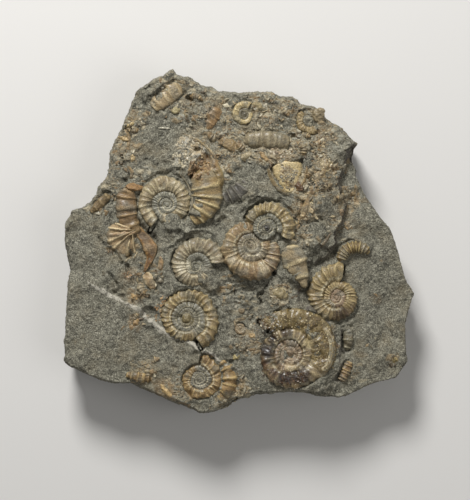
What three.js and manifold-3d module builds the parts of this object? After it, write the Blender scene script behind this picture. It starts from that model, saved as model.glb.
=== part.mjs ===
// A loose slab of grey mudstone with ribbed ammonites and lengths of their shells fixed in its face.
// Millimetres, +Z up. The origin is under the middle of the slab, on the face that it rests on.

import * as THREE from "three";
import { mergeVertices } from "three/addons/utils/BufferGeometryUtils.js";
import Module from "manifold-3d";

// Driving dimensions of the block
const clearance = 0.3; // between a shell and the pocket that it lies in
const plateauZ = 16.4; // general height of the broken upper face
const gridPitch = 4.2; // spacing of the facets on the upper face
const gridHalf = 50; // the facets are laid out past the outline and then cut to it
const facetJitter = 1.2; // how far a facet's corner strays from the regular grid
const facetRelief = 0.5; // how far it strays up or down
const hub = [-10, 2.5]; // a place that sees every point of the outline

// How far the side stands in from the outline at each height: undercut below, broken back above
const sideProfile = [
  { z: 0, inset: 1.7 },
  { z: 4.5, inset: 0.6 },
  { z: 10, inset: 0 },
  { z: 14, inset: 0.5 },
  { z: 17.6, inset: 1.8 },
  { z: 23, inset: 3.6 },
];

// The slab's outline seen from above
const outline = [
  [-17.4, 45.0], [-15.1, 43.5], [-13.4, 43.4], [-10.6, 41.7], [-4.4, 39.3], [-1.0, 39.5],
  [0.3, 39.1], [8.5, 39.5], [10.9, 37.9], [14.0, 38.1], [15.0, 37.6], [16.2, 36.0],
  [19.4, 35.4], [22.1, 34.2], [22.9, 32.3], [26.5, 30.2], [29.7, 26.7], [31.3, 25.6],
  [30.0, 24.0], [29.6, 21.3], [30.7, 18.5], [30.5, 16.9], [33.0, 12.3], [36.9, 6.6],
  [39.6, 3.4], [41.2, -1.1], [43.5, -9.6], [45.9, -13.6], [44.7, -16.6], [43.4, -21.8],
  [43.6, -28.2], [44.1, -31.1], [40.9, -35.5], [34.9, -37.0], [28.1, -40.2], [26.1, -40.6],
  [20.9, -40.5], [16.3, -39.4], [13.2, -39.3], [4.9, -40.1], [-1.0, -41.8], [-3.3, -43.4],
  [-8.0, -45.0], [-10.0, -44.9], [-14.7, -42.8], [-16.2, -42.5], [-22.9, -39.3],
  [-28.1, -37.2], [-32.5, -37.0], [-36.4, -36.1], [-44.1, -32.6], [-45.5, -31.7],
  [-45.8, -30.9], [-45.3, -29.5], [-45.9, -25.9], [-45.4, -24.3], [-45.2, -17.6],
  [-44.8, -10.4], [-44.1, -7.6], [-45.7, 0.4], [-45.4, 4.8], [-44.1, 6.7], [-43.8, 8.2],
  [-41.0, 9.1], [-38.4, 11.0], [-35.8, 15.6], [-34.8, 16.7], [-34.2, 19.0], [-33.8, 23.1],
  [-32.6, 26.2], [-29.5, 32.7], [-26.9, 39.6], [-22.4, 42.8],
];

// Steps in the upper face: the ground on the left of each line, walking along it, lies lower
const ledges = [
  {
    drop: 2.6, // the dark scarp above the smooth right-hand side
    width: 1.4,
    line: [
      [36, 25], [29.2, 22.8], [27, 19], [25.6, 13.3], [25.2, 3], [22.5, -1.5], [18.3, -5.3],
      [16.6, -11], [17.5, -18], [24.8, -21.5], [26, -28], [25.8, -35], [21, -44],
    ],
  },
  {
    drop: 0.9, // the smooth left-hand side
    width: 4,
    line: [
      [-15, -48], [-17, -38], [-20, -30], [-24, -24], [-27, -18], [-31, -12], [-30, -6],
      [-32, 0], [-34, 6], [-38, 9], [-50, 9.5],
    ],
  },
];

// Broad rises and hollows: place, reach and height
const swells = [
  { at: [-18, 38], reach: 8, rise: 0.7 },
  { at: [-19, 27], reach: 7, rise: -0.7 },
  { at: [-13, 20], reach: 5, rise: 0.9 },
  { at: [4, 15], reach: 7, rise: 0.9 },
  { at: [20, 24], reach: 7, rise: 1.1 },
  { at: [20, 8], reach: 5, rise: 0.7 },
  { at: [-1, -13], reach: 6, rise: -0.5 },
  { at: [6, -13], reach: 5, rise: 0.6 },
  { at: [-32, -14], reach: 5, rise: -0.5 },
  { at: [-35, -26], reach: 8, rise: 0.5 },
  { at: [41, -20], reach: 10, rise: -1.0 },
  { at: [33, 8], reach: 6, rise: 0.6 },
  { at: [-4, -41], reach: 8, rise: -1.3 },
  { at: [12, -40], reach: 6, rise: -0.9 },
  { at: [38, -33], reach: 6, rise: -0.7 },
];

// Finishes: colour, roughness
const finishes = {
  mudstone: { color: "#7a7462", roughness: 0.92 },
  ochreShell: { color: "#93805a", roughness: 0.6 },
  creamShell: { color: "#a39a7c", roughness: 0.62 },
  brownShell: { color: "#86735a", roughness: 0.6 },
  amberShell: { color: "#8f7048", roughness: 0.5 },
  oliveShell: { color: "#756746", roughness: 0.55 },
};

// Whole coils. The whorls follow an even spiral that shrinks by "ratio" in each turn from the mouth.
// "turn" is 1 where the shell grows anticlockwise, seen from above, and -1 where it grows clockwise.
// "mouth" is the mouth's bearing in degrees, and "lean" the slope of the coil's own plane along X and Y.
const coils = {
  ammonite_upper_left: {
    finish: "creamShell",
    at: [-18.7, 9.8], level: 15.8, lean: [0.02, -0.03],
    radius: 9.3, mouth: 235, turn: 1, ratio: 2, turns: 1.5, ribs: 22, rows: 3, bulge: 0.42,
    bands: [
      { from: -27, to: 62, inner: [5.4, 6.2, 7.2], outer: [10.8, 14.4, 16.6], ribs: 6, rise: 3.1 },
      { from: 149, to: 236, inner: [7.6, 8.6, 10.6], outer: [12.2, 14.6, 16.9], ribs: 6, rise: 2.2 },
    ],
  },
  ammonite_centre: {
    finish: "brownShell",
    at: [3.1, -1.0], level: 16.8, lean: [0, 0],
    radius: 9.4, mouth: 305, turn: 1, ratio: 2, turns: 1.5, ribs: 22, rows: 2, bulge: 0.4,
  },
  ammonite_centre_top: {
    finish: "ochreShell",
    at: [7.2, 3.8], level: 16.1, lean: [0, -0.04],
    radius: 7.5, mouth: 20, turn: -1, ratio: 1.75, turns: 1.4, ribs: 20, rows: 2, bulge: 0.4,
  },
  ammonite_centre_left: {
    finish: "creamShell",
    at: [-11.1, -6.3], level: 15.8, lean: [0.03, -0.03],
    radius: 8.0, mouth: 40, turn: -1, ratio: 2, turns: 1.4, ribs: 22, rows: 2, bulge: 0.42,
  },
  ammonite_lower_left: {
    finish: "ochreShell",
    at: [-13.5, -19.8], level: 15.7, lean: [0, -0.03],
    radius: 8.8, mouth: 300, turn: -1, ratio: 1.6, turns: 1.7, ribs: 22, rows: 2, bulge: 0.42,
  },
  ammonite_bottom: {
    finish: "ochreShell",
    at: [-10.2, -35.6], level: 15.2, lean: [0, 0.03],
    radius: 6.4, mouth: 80, turn: 1, ratio: 1.75, turns: 1.3, ribs: 20, rows: 2, bulge: 0.42,
    bands: [{ from: -32, to: 30, inner: [5.2, 5.4, 5.8], outer: [8.6, 9.8, 9.4], ribs: 3, rise: 1.7 }],
  },
  ammonite_lower_right: {
    finish: "oliveShell",
    at: [13.1, -29.0], level: 15.5, lean: [-0.01, 0.01],
    radius: 11.9, mouth: 128, turn: 1, ratio: 1.7, turns: 1.7, ribs: 20, rows: 3, bulge: 0.4,
  },
  ammonite_right: {
    finish: "ochreShell",
    at: [25.3, -14.3], level: 13.8, lean: [-0.05, 0.02],
    radius: 8.8, mouth: 80, turn: -1, ratio: 2, turns: 1.4, ribs: 24, rows: 2, bulge: 0.44,
  },
  ammonite_top: {
    finish: "ochreShell",
    at: [1.4, 32.8], level: 15.9, lean: [0, 0],
    radius: 3.7, mouth: 60, turn: -1, ratio: 1.7, turns: 1.1, ribs: 12, rows: 2, bulge: 0.5,
  },
  ammonite_top_right: {
    finish: "ochreShell",
    at: [17.9, 31.4], level: 15.9, lean: [-0.03, 0.03],
    radius: 4.0, mouth: 307, turn: 1, ratio: 2, turns: 1.1, ribs: 12, rows: 2, bulge: 0.42,
  },
  ammonite_tiny: {
    finish: "brownShell",
    at: [0.4, -22.3], level: 15.7, lean: [0, 0],
    radius: 1.9, mouth: 0, turn: 1, ratio: 1.8, turns: 0.8, ribs: 8, rows: 2, bulge: 0.4,
  },
};

// Loose lengths of whorl and blades of shell: a path from end to end and the widths along it
const lengths = {
  whorl_centre_right: {
    finish: "ochreShell",
    path: [[13.4, 1.2], [13.7, -2.4], [14.2, -5.6], [15.2, -9.8]],
    widths: [5.0, 5.6, 4.2, 2.6], level: 16.4, rise: 1.4, ribs: 5,
  },
  whorl_arc_right: {
    finish: "ochreShell",
    arc: { centre: [30.4, -5.4], radius: 4.0, from: 176, to: 42 },
    widths: [2.5, 3.1, 3.0, 2.4], level: 13.9, rise: 1.3, ribs: 9,
  },
  whorl_bar_top: {
    finish: "brownShell",
    path: [[1.3, 26.1], [7.2, 26.4], [13.2, 25.6]],
    widths: [3.6, 4.4, 4.0], level: 16.2, rise: 1.0, ribs: 6,
  },
  whorl_upper_left: {
    finish: "brownShell",
    path: [[-22.2, 34.6], [-18.6, 37.6], [-14.9, 40.0]],
    widths: [3.8, 4.7, 3.8], level: 16.5, rise: 0.9, ribs: 4,
  },
  whorl_lower_right: {
    finish: "ochreShell",
    path: [[28.7, -31.2], [27.6, -33.8], [26.4, -36.2]],
    widths: [1.9, 2.4, 1.9], level: 13.5, rise: 0.9, ribs: 4,
  },
  broken_chamber: {
    finish: "ochreShell",
    path: [[12.2, 20.2], [12.8, 17.2], [13.3, 13.2]],
    widths: [8.0, 6.8, 1.8], level: 16.5, rise: 1.0, ribs: 0,
  },
  curved_shell_right: {
    finish: "amberShell",
    path: [[21.0, 15.4], [19.5, 14.4], [18.9, 12.9], [18.4, 10.6]],
    widths: [1.2, 1.9, 1.8, 1.2], level: 16.7, rise: 0.8, ribs: 0,
  },
  shell_blade_left: {
    finish: "amberShell",
    path: [[-23.4, 1.2], [-22.6, -2.0], [-23.4, -5.0], [-24.6, -7.6]],
    widths: [3.0, 3.2, 1.5, 0.8], level: 16.0, rise: 0.9, ribs: 0,
  },
  shell_blade_lower: {
    finish: "amberShell",
    path: [[-23.4, -9.4], [-22.8, -11.2], [-21.6, -12.9]],
    widths: [1.8, 1.9, 1.3], level: 15.7, rise: 0.8, ribs: 0,
  },
  whorl_left_edge: {
    finish: "brownShell",
    path: [[-38.2, 7.6], [-35.9, 9.8], [-33.4, 12.2]],
    widths: [1.6, 2.3, 1.7], level: 15.5, rise: 0.8, ribs: 3,
  },
  whorl_bottom_edge: {
    finish: "ochreShell",
    path: [[-29.0, -34.4], [-25.8, -35.0], [-22.6, -35.6]],
    widths: [1.8, 2.4, 1.9], level: 15.1, rise: 0.9, ribs: 4,
  },
  ribs_lower_right: {
    finish: "brownShell",
    path: [[28.0, -21.8], [28.4, -25.0], [28.0, -28.2]],
    widths: [2.2, 3.0, 2.4], level: 13.4, rise: 0.6, ribs: 3,
  },
};

const shellDepth = 1.6; // how far each shell goes down into its pocket, below its own level
const furrow = 0.7; // height left between two ribs, as a share of the rib's own
const ribReach = 0.03; // how far a rib stands out past the furrows, as a share of the radius
const seamRise = 0.12; // height of the seam between two whorls, as a share of the whorl's width
const bandRows = [[-1, 0], [-0.62, 0.74], [0, 1], [0.62, 0.74], [1, 0]];
const pocketTop = 26;

const wasm = await Module();
wasm.setup();

const radians = (degrees) => (degrees * Math.PI) / 180;
const smoothstep = THREE.MathUtils.smoothstep;

// A fixed scatter between -1 and 1 for two whole numbers
function scatter(i, j) {
  const wave = Math.sin(i * 127.1 + j * 311.7 + 17.3) * 43758.5453;
  return 2 * (wave - Math.floor(wave)) - 1;
}

function closedGeometry(points, faces) {
  const geometry = new THREE.BufferGeometry();
  geometry.setAttribute("position", new THREE.Float32BufferAttribute(points.flat(), 3));
  geometry.setIndex(faces.flat());
  return geometry;
}

function toSolid(geometry) {
  const merged = mergeVertices(geometry, 1e-4);
  return new wasm.Manifold(
    new wasm.Mesh({
      numProp: 3,
      vertProperties: new Float32Array(merged.attributes.position.array),
      triVerts: new Uint32Array(merged.index.array),
    }),
  );
}

function toGeometry(solid) {
  const mesh = solid.getMesh();
  const points = new Float32Array(mesh.vertProperties);
  const geometry = new THREE.BufferGeometry();
  geometry.setAttribute("position", new THREE.BufferAttribute(points, 3));
  geometry.setIndex(new THREE.BufferAttribute(new Uint32Array(mesh.triVerts), 1));
  return geometry;
}

// Rings of points joined into one skin, closed at both ends by a fan from the hub
function skinOfRings(rings, hubPoint) {
  const count = rings[0].length;
  const points = rings.flat();
  const faces = [];
  for (let r = 0; r + 1 < rings.length; r++) {
    for (let i = 0; i < count; i++) {
      const next = (i + 1) % count;
      const [a, b] = [r * count + i, r * count + next];
      faces.push([a, b, b + count], [a, b + count, a + count]);
    }
  }
  const low = points.length;
  points.push([hubPoint[0], hubPoint[1], rings[0][0][2]]);
  points.push([hubPoint[0], hubPoint[1], rings[rings.length - 1][0][2]]);
  const top = (rings.length - 1) * count;
  for (let i = 0; i < count; i++) {
    const next = (i + 1) % count;
    faces.push([low, next, i], [low + 1, top + i, top + next]);
  }
  return closedGeometry(points, faces);
}

// The upright block inside the outline, before its upper face is broken
function blockSides() {
  const anticlockwise = [...outline].reverse();
  const rings = sideProfile.map(({ z, inset }, level) =>
    anticlockwise.map(([x, y], i) => {
      const reach = Math.hypot(x - hub[0], y - hub[1]);
      const uneven = 1 + 0.45 * scatter(i, level);
      const keep = 1 - (inset * uneven) / reach;
      return [hub[0] + (x - hub[0]) * keep, hub[1] + (y - hub[1]) * keep, z];
    }),
  );
  return skinOfRings(rings, hub);
}

// Distance from a line of points, more than 0 on its left
function leftOf(line, x, y) {
  let best = Infinity;
  let side = 1;
  for (let i = 0; i + 1 < line.length; i++) {
    const [ax, ay] = line[i];
    const [dx, dy] = [line[i + 1][0] - ax, line[i + 1][1] - ay];
    const along = ((x - ax) * dx + (y - ay) * dy) / (dx * dx + dy * dy);
    const t = THREE.MathUtils.clamp(along, 0, 1);
    const distance = Math.hypot(x - ax - t * dx, y - ay - t * dy);
    if (distance < best) {
      best = distance;
      side = Math.sign(dx * (y - ay) - dy * (x - ax));
    }
  }
  return best * side;
}

// Height of the broken upper face
function ground(x, y) {
  let z = plateauZ;
  for (const { line, drop, width } of ledges) {
    const past = leftOf(line, x, y);
    z -= drop * smoothstep(past, -width, width);
    z -= 0.045 * Math.max(0, past);
  }
  for (const { at, reach, rise } of swells) {
    const away = ((x - at[0]) ** 2 + (y - at[1]) ** 2) / reach ** 2;
    z += rise * Math.exp(-away);
  }
  return z + 0.25 * Math.sin(x * 0.55 + y * 0.2) + 0.2 * Math.sin(y * 0.7 - x * 0.25);
}

// Everything below the broken upper face
function brokenFace() {
  const count = Math.round((2 * gridHalf) / gridPitch) + 1;
  const points = [];
  const faces = [];
  for (const floor of [true, false]) {
    for (let j = 0; j < count; j++) {
      for (let i = 0; i < count; i++) {
        const x = i * gridPitch - gridHalf + facetJitter * scatter(i, j);
        const y = j * gridPitch - gridHalf + facetJitter * scatter(j + 50, i);
        points.push([x, y, floor ? -2 : ground(x, y) + facetRelief * scatter(i + 90, j)]);
      }
    }
  }
  const layer = count * count;
  for (let j = 0; j + 1 < count; j++) {
    for (let i = 0; i + 1 < count; i++) {
      const [a, b] = [j * count + i, j * count + i + 1];
      const [c, d] = [b + count, a + count];
      faces.push([a, c, b], [a, d, c]);
      faces.push([a + layer, b + layer, c + layer], [a + layer, c + layer, d + layer]);
    }
  }
  const rim = [];
  for (let i = 0; i + 1 < count; i++) rim.push(i);
  for (let j = 0; j + 1 < count; j++) rim.push(j * count + count - 1);
  for (let i = count - 1; i > 0; i--) rim.push((count - 1) * count + i);
  for (let j = count - 1; j > 0; j--) rim.push(j * count);
  rim.forEach((a, k) => {
    const b = rim[(k + 1) % rim.length];
    faces.push([a, b, b + layer], [a, b + layer, a + layer]);
  });
  return closedGeometry(points, faces);
}

// One coiled shell: a ribbed ribbon wound on itself, with a wall down into the rock and a flat floor
function coiledShell(spec) {
  const steps = 2 * spec.ribs; // a rib and a furrow in turn
  const last = Math.round(spec.turns * steps);
  const [cx, cy] = spec.at;
  const level = (x, y) => spec.level + spec.lean[0] * (x - cx) + spec.lean[1] * (y - cy);
  const radiusAt = (j) => spec.radius * spec.ratio ** (-j / steps);
  const place = (j, share, height) => {
    const bearing = radians(spec.mouth) - (spec.turn * 2 * Math.PI * j) / steps;
    const outer = radiusAt(j) * (j % 2 ? 1 - ribReach : 1);
    const inner = radiusAt(j + steps);
    const r = outer + (inner - outer) * share;
    const [x, y] = [cx + r * Math.cos(bearing), cy + r * Math.sin(bearing)];
    return [x, y, level(x, y) + height];
  };
  const widthAt = (j) => radiusAt(j) - radiusAt(j + steps);

  const points = [];
  const add = (point) => points.push(point) - 1;
  const seam = [];
  for (let j = 0; j <= last + steps; j++) seam.push(add(place(j, 0, seamRise * widthAt(j))));
  const ridge = [];
  for (let j = 0; j <= last; j++) {
    const height = spec.bulge * widthAt(j) * (j % 2 ? furrow : 1);
    const inside = [];
    for (let m = 1; m < spec.rows; m++) {
      const slant = j === 0 ? 0.4 : 0; // the mouth's edge is set back, so that it isn't a straight ray
      const point = place(j + slant, m / spec.rows, height);
      inside.push(add(point));
    }
    ridge.push([seam[j], ...inside, seam[j + steps]]);
  }

  const faces = [];
  const facing = (a, b, c) => faces.push(spec.turn > 0 ? [a, b, c] : [a, c, b]);
  for (let j = 0; j < last; j++) {
    for (let m = 0; m < spec.rows; m++) {
      const [a, b] = [ridge[j][m], ridge[j][m + 1]];
      const [c, d] = [ridge[j + 1][m + 1], ridge[j + 1][m]];
      facing(a, b, c);
      facing(a, c, d);
    }
  }

  // The middle is closed from a point a little way off the last row, and so is the floor
  const hubFor = (j, z) => {
    const bearing = radians(spec.mouth) - spec.turn * (2 * Math.PI * (j / steps) + Math.PI / 2);
    const away = 0.25 * radiusAt(j + steps);
    const [x, y] = [cx + away * Math.cos(bearing), cy + away * Math.sin(bearing)];
    return add([x, y, z === undefined ? level(x, y) + 0.5 * widthAt(j) : z]);
  };
  const middle = hubFor(last);
  const inner = [...seam.slice(last), ...ridge[last].slice(1, -1).reverse()];
  inner.forEach((a, k) => facing(middle, inner[(k + 1) % inner.length], a));

  const floorZ = spec.level - shellDepth;
  const rim = [...seam.slice(0, steps + 1), ...ridge[0].slice(1, -1).reverse()];
  const foot = rim.map((a) => add([points[a][0], points[a][1], floorZ]));
  const under = hubFor(0, floorZ);
  rim.forEach((a, k) => {
    const next = (k + 1) % rim.length;
    facing(a, rim[next], foot[next]);
    facing(a, foot[next], foot[k]);
    facing(under, foot[k], foot[next]);
  });
  return closedGeometry(points, faces);
}

// The pocket round a coil: an upright prism that clears it all round and in front of its mouth
function coilPocket(spec) {
  const opening = 7; // degrees kept clear in front of the mouth
  const pocketSides = 8 + Math.round(0.9 * spec.radius);
  const corners = [];
  for (let k = 0; k <= pocketSides; k++) {
    const back = (k * (360 - opening / 2)) / pocketSides;
    const bearing = radians(spec.mouth + spec.turn * (opening - back));
    const behind = Math.max(0, back - opening) / 360;
    const r = (spec.radius * spec.ratio ** -behind) / Math.cos(Math.PI / pocketSides) + clearance;
    corners.push([spec.at[0] + r * Math.cos(bearing), spec.at[1] + r * Math.sin(bearing)]);
  }
  if (spec.turn > 0) corners.reverse();
  const heights = [spec.level - shellDepth - clearance, pocketTop];
  const rings = heights.map((z) => corners.map(([x, y]) => [x, y, z]));
  return skinOfRings(rings, spec.at);
}

// A number from a short list of values spread evenly along 0 to 1
function along(values, t) {
  const place = t * (values.length - 1);
  const i = Math.min(Math.floor(place), values.length - 2);
  return THREE.MathUtils.lerp(values[i], values[i + 1], place - i);
}

// Stations along a length of whorl: the middle, the unit vector across it and the half width
function stationsOf(spec, count) {
  const stations = [];
  for (let k = 0; k < count; k++) {
    const t = k / (count - 1);
    if (spec.arc) {
      const { centre, radius, from, to } = spec.arc;
      const bearing = radians(THREE.MathUtils.lerp(from, to, t));
      const out = [Math.cos(bearing), Math.sin(bearing)];
      const sign = to > from ? 1 : -1;
      const r = typeof radius === "number" ? radius : along(radius, t);
      stations.push({
        middle: [centre[0] + r * out[0], centre[1] + r * out[1]],
        across: [sign * out[0], sign * out[1]],
        half: along(spec.widths, t) / 2,
      });
    } else {
      const curve = new THREE.CatmullRomCurve3(spec.path.map(([x, y]) => new THREE.Vector3(x, y, 0)));
      const { x, y } = curve.getPoint(t);
      const ahead = curve.getTangent(t);
      stations.push({ middle: [x, y], across: [ahead.y, -ahead.x], half: along(spec.widths, t) / 2 });
    }
  }
  return stations;
}

// A loose length of whorl, ribbed or plain, let into the rock
function lengthOfShell(spec) {
  const count = Math.max(5, 2 * spec.ribs + 1);
  const stations = stationsOf(spec, count);
  const floorZ = spec.level - shellDepth;
  const sections = stations.map(({ middle, across, half }, k) => {
    const atEnd = k === 0 || k === count - 1;
    const rib = spec.ribs && k % 2 === 0 ? furrow : 1;
    const height = spec.rise * rib * (atEnd ? 0.45 : 1);
    const reach = half * (atEnd ? 0.7 : 1);
    const at = (offset, z) => [middle[0] + across[0] * offset, middle[1] + across[1] * offset, z];
    const top = bandRows.map(([share, tall]) => at(share * reach, spec.level + tall * height));
    return [...top, at(reach, floorZ), at(-reach, floorZ)];
  });
  const wide = sections[0].length;
  const points = sections.flat();
  const faces = [];
  for (let k = 0; k + 1 < count; k++) {
    for (let m = 0; m < wide; m++) {
      const next = (m + 1) % wide;
      const [a, b] = [k * wide + m, k * wide + next];
      faces.push([a, b, b + wide], [a, b + wide, a + wide]);
    }
  }
  const end = (count - 1) * wide;
  for (let m = 1; m + 1 < wide; m++) {
    faces.push([0, m + 1, m], [end, end + m, end + m + 1]);
  }
  return closedGeometry(points, faces);
}

// The space between two matching rows of corners, from a floor up
function prismOfStrip(right, left, floorZ) {
  const rows = [
    [right, pocketTop],
    [left, pocketTop],
    [left, floorZ],
    [right, floorZ],
  ];
  const count = right.length;
  const points = [];
  for (let k = 0; k < count; k++) {
    for (const [corners, z] of rows) points.push([corners[k][0], corners[k][1], z]);
  }
  const faces = [];
  for (let k = 0; k + 1 < count; k++) {
    for (let m = 0; m < 4; m++) {
      const next = (m + 1) % 4;
      const [a, b] = [k * 4 + m, k * 4 + next];
      faces.push([a, b + 4, b], [a, a + 4, b + 4]);
    }
  }
  const end = (count - 1) * 4;
  faces.push([0, 1, 2], [0, 2, 3], [end, end + 2, end + 1], [end, end + 3, end + 2]);
  return closedGeometry(points, faces);
}

// The pocket round a loose length, from fewer stations than the shell has
function lengthPocket(spec) {
  const count = spec.arc ? 9 : 5;
  const stations = stationsOf(spec, count);
  const side = (sign) =>
    stations.map(({ middle, across, half }, k) => {
      const ahead = [-across[1], across[0]];
      const past = (k === 0 ? -1 : k === count - 1 ? 1 : 0) * clearance;
      const out = sign * (half + 1.4 * clearance);
      return [0, 1].map((axis) => middle[axis] + across[axis] * out + ahead[axis] * past);
    });
  return prismOfStrip(side(1), side(-1), spec.level - shellDepth - clearance);
}

// What is left of an outer whorl beside a coil, as a length of shell on the same centre
function bandSpec(spec, band) {
  return {
    arc: {
      centre: spec.at,
      radius: band.inner.map((inner, k) => (inner + band.outer[k]) / 2),
      from: band.from,
      to: band.to,
    },
    widths: band.inner.map((inner, k) => band.outer[k] - inner),
    level: spec.level,
    rise: band.rise,
    ribs: band.ribs,
  };
}

// Every shell as a solid with the space that it needs, those on top first
const shells = [];
for (const [name, spec] of Object.entries(coils)) {
  let solid = toSolid(coiledShell(spec));
  let pocket = toSolid(coilPocket(spec));
  for (const band of spec.bands || []) {
    solid = solid.add(toSolid(lengthOfShell(bandSpec(spec, band))));
    pocket = pocket.add(toSolid(lengthPocket(bandSpec(spec, band))));
  }
  shells.push({ name, solid, pocket, finish: spec.finish });
}
for (const [name, spec] of Object.entries(lengths)) {
  const solid = toSolid(lengthOfShell(spec));
  shells.push({ name, solid, pocket: toSolid(lengthPocket(spec)), finish: spec.finish });
}
shells.forEach((shell, i) => {
  for (const upper of shells.slice(0, i)) shell.solid = shell.solid.subtract(upper.pocket);
});

let rock = toSolid(blockSides()).intersect(toSolid(brokenFace()));
for (const { pocket } of shells) rock = rock.subtract(pocket);

const slab = new THREE.Group();
function addPiece(name, solid, finish) {
  const material = new THREE.MeshStandardMaterial({ ...finishes[finish], metalness: 0 });
  const mesh = new THREE.Mesh(toGeometry(solid), material);
  mesh.name = name;
  slab.add(mesh);
}
addPiece("matrix_slab", rock, "mudstone");
for (const { name, solid, finish } of shells) addPiece(name, solid, finish);

export default slab;
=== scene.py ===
# A loose slab of grey mudstone full of small ribbed ammonites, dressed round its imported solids.
# Sizes in the dictionaries are millimetres in the slab's own frame, and mm turns them into metres.
import math
import random

import bpy
import numpy as np
from mathutils import Matrix, Vector
from mathutils.bvhtree import BVHTree


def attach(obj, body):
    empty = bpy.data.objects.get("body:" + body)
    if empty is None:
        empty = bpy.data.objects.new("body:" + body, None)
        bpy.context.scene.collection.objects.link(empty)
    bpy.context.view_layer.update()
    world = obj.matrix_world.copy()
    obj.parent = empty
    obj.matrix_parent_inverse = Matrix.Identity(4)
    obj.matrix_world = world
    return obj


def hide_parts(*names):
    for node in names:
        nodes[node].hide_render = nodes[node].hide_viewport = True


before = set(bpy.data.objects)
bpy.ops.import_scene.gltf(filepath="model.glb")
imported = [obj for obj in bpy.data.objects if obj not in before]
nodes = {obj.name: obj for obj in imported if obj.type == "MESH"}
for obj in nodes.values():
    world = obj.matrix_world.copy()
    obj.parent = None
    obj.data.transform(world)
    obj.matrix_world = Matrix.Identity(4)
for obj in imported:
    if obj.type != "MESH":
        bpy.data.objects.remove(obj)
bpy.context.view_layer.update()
mm = 0.001


# Small helpers

def deselectAll():
    bpy.ops.object.select_all(action="DESELECT")


def makeActive(*pieces):
    deselectAll()
    for piece in pieces:
        piece.select_set(True)
    bpy.context.view_layer.objects.active = pieces[0]


def editAll(piece):
    makeActive(piece)
    bpy.ops.object.mode_set(mode="EDIT")
    bpy.ops.mesh.select_all(action="SELECT")


def leaveEdit():
    bpy.ops.object.mode_set(mode="OBJECT")


def addModifier(piece, kind, **settings):
    modifier = piece.modifiers.new(kind.title(), kind)
    for key, value in settings.items():
        setattr(modifier, key, value)
    makeActive(piece)
    bpy.ops.object.modifier_apply(modifier=modifier.name)


def displace(piece, strength, middle=0.0, **settings):
    addModifier(piece, "DISPLACE", mid_level=middle, strength=strength, **settings)


def newTexture(name, size, kind="CLOUDS", **settings):    # its lumps are about this many mm across
    texture = bpy.data.textures.new(name, kind)
    texture.noise_scale = size * mm
    for key, value in settings.items():
        setattr(texture, key, value)
    return texture


def dress(piece, material, smooth=True):
    if smooth:
        makeActive(piece)
        bpy.ops.object.shade_smooth()
    piece.data.materials.clear()
    piece.data.materials.append(material)


def settle(piece):    # the object goes to the origin and its place into its mesh
    makeActive(piece)
    bpy.ops.object.transform_apply(location=True, rotation=True, scale=True)


def closeUp(piece, merge=0.004):    # doubles merged, holes filled, faces turned outwards
    editAll(piece)
    bpy.ops.mesh.remove_doubles(threshold=merge * mm)
    bpy.ops.mesh.select_all(action="SELECT")
    bpy.ops.mesh.fill_holes(sides=0)
    bpy.ops.mesh.select_all(action="SELECT")
    bpy.ops.mesh.normals_make_consistent(inside=False)
    leaveEdit()


def joinInto(name, pieces):
    makeActive(*pieces)
    bpy.ops.object.join()
    joined = bpy.context.object
    joined.name = name
    joined.data.name = name
    return joined


def getPoints(piece):
    flat = np.empty(len(piece.data.vertices) * 3)
    piece.data.vertices.foreach_get("co", flat)
    return flat.reshape(-1, 3)


def setPoints(piece, points):
    piece.data.vertices.foreach_set("co", points.ravel())
    piece.data.update()


def getNormals(piece):
    flat = np.empty(len(piece.data.vertices) * 3)
    piece.data.vertex_normals.foreach_get("vector", flat)
    return flat.reshape(-1, 3)


def addGroup(piece, name, weights):
    group = piece.vertex_groups.new(name=name)
    levels = np.clip(np.round(np.asarray(weights) * 50), 0, 50).astype(int)
    for level in np.unique(levels):
        if level:
            group.add(np.nonzero(levels == level)[0].tolist(), level / 50, "REPLACE")
    return group


def addMask(piece, name, values):
    layer = piece.data.attributes.new(name, "FLOAT", "POINT")
    layer.data.foreach_set("value", np.clip(values, 0, 1).astype(np.float32))


def linear(red, green, blue):    # a colour as seen on a screen, 0 to 255, made linear
    shares = np.array([red, green, blue]) / 255
    return np.where(shares <= 0.04045, shares / 12.92, ((shares + 0.055) / 1.055) ** 2.4)


def paint(piece, colours):
    rgba = np.ones((len(colours), 4), np.float32)
    rgba[:, :3] = colours
    layer = piece.data.color_attributes.new("tone", "FLOAT_COLOR", "POINT")
    layer.data.foreach_set("color", rgba.ravel())


def ease(edge0, edge1, x):
    t = np.clip((np.asarray(x) - edge0) / (edge1 - edge0), 0, 1)
    return t * t * (3 - 2 * t)


def mixed(colours, colour, share):
    share = np.asarray(share)[:, None]
    return colours * (1 - share) + np.asarray(colour) * share


def gapFrom(points, x, y):    # distance in mm from one place, seen from above
    return np.hypot(points[:, 0] / mm - x, points[:, 1] / mm - y)


hashFactors = (73856093, 19349663, 83492791, 2654435, 1274126177)    # they mix up the cells of the noise


def grain(points, size, seed):    # smooth value noise, 0 to 1, with lumps about this many mm across
    place = points / (size * mm) + seed * 7.31
    base = np.floor(place).astype(np.int64)
    part = place - base
    part = part * part * (3 - 2 * part)
    total = np.zeros(len(points))
    for corner in range(8):
        step = np.array([corner & 1, corner >> 1 & 1, corner >> 2 & 1])
        cell = base + step
        key = seed * hashFactors[3]
        for axis in range(3):
            key = key ^ (cell[:, axis] * hashFactors[axis])
        key = (key ^ (key >> 13)) * hashFactors[4] & 0x7FFFFFFF
        value = (key >> 8) % 8192 / 8191
        weight = np.prod(np.where(step, part, 1 - part), axis=1)
        total += weight * value
    return total


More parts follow.
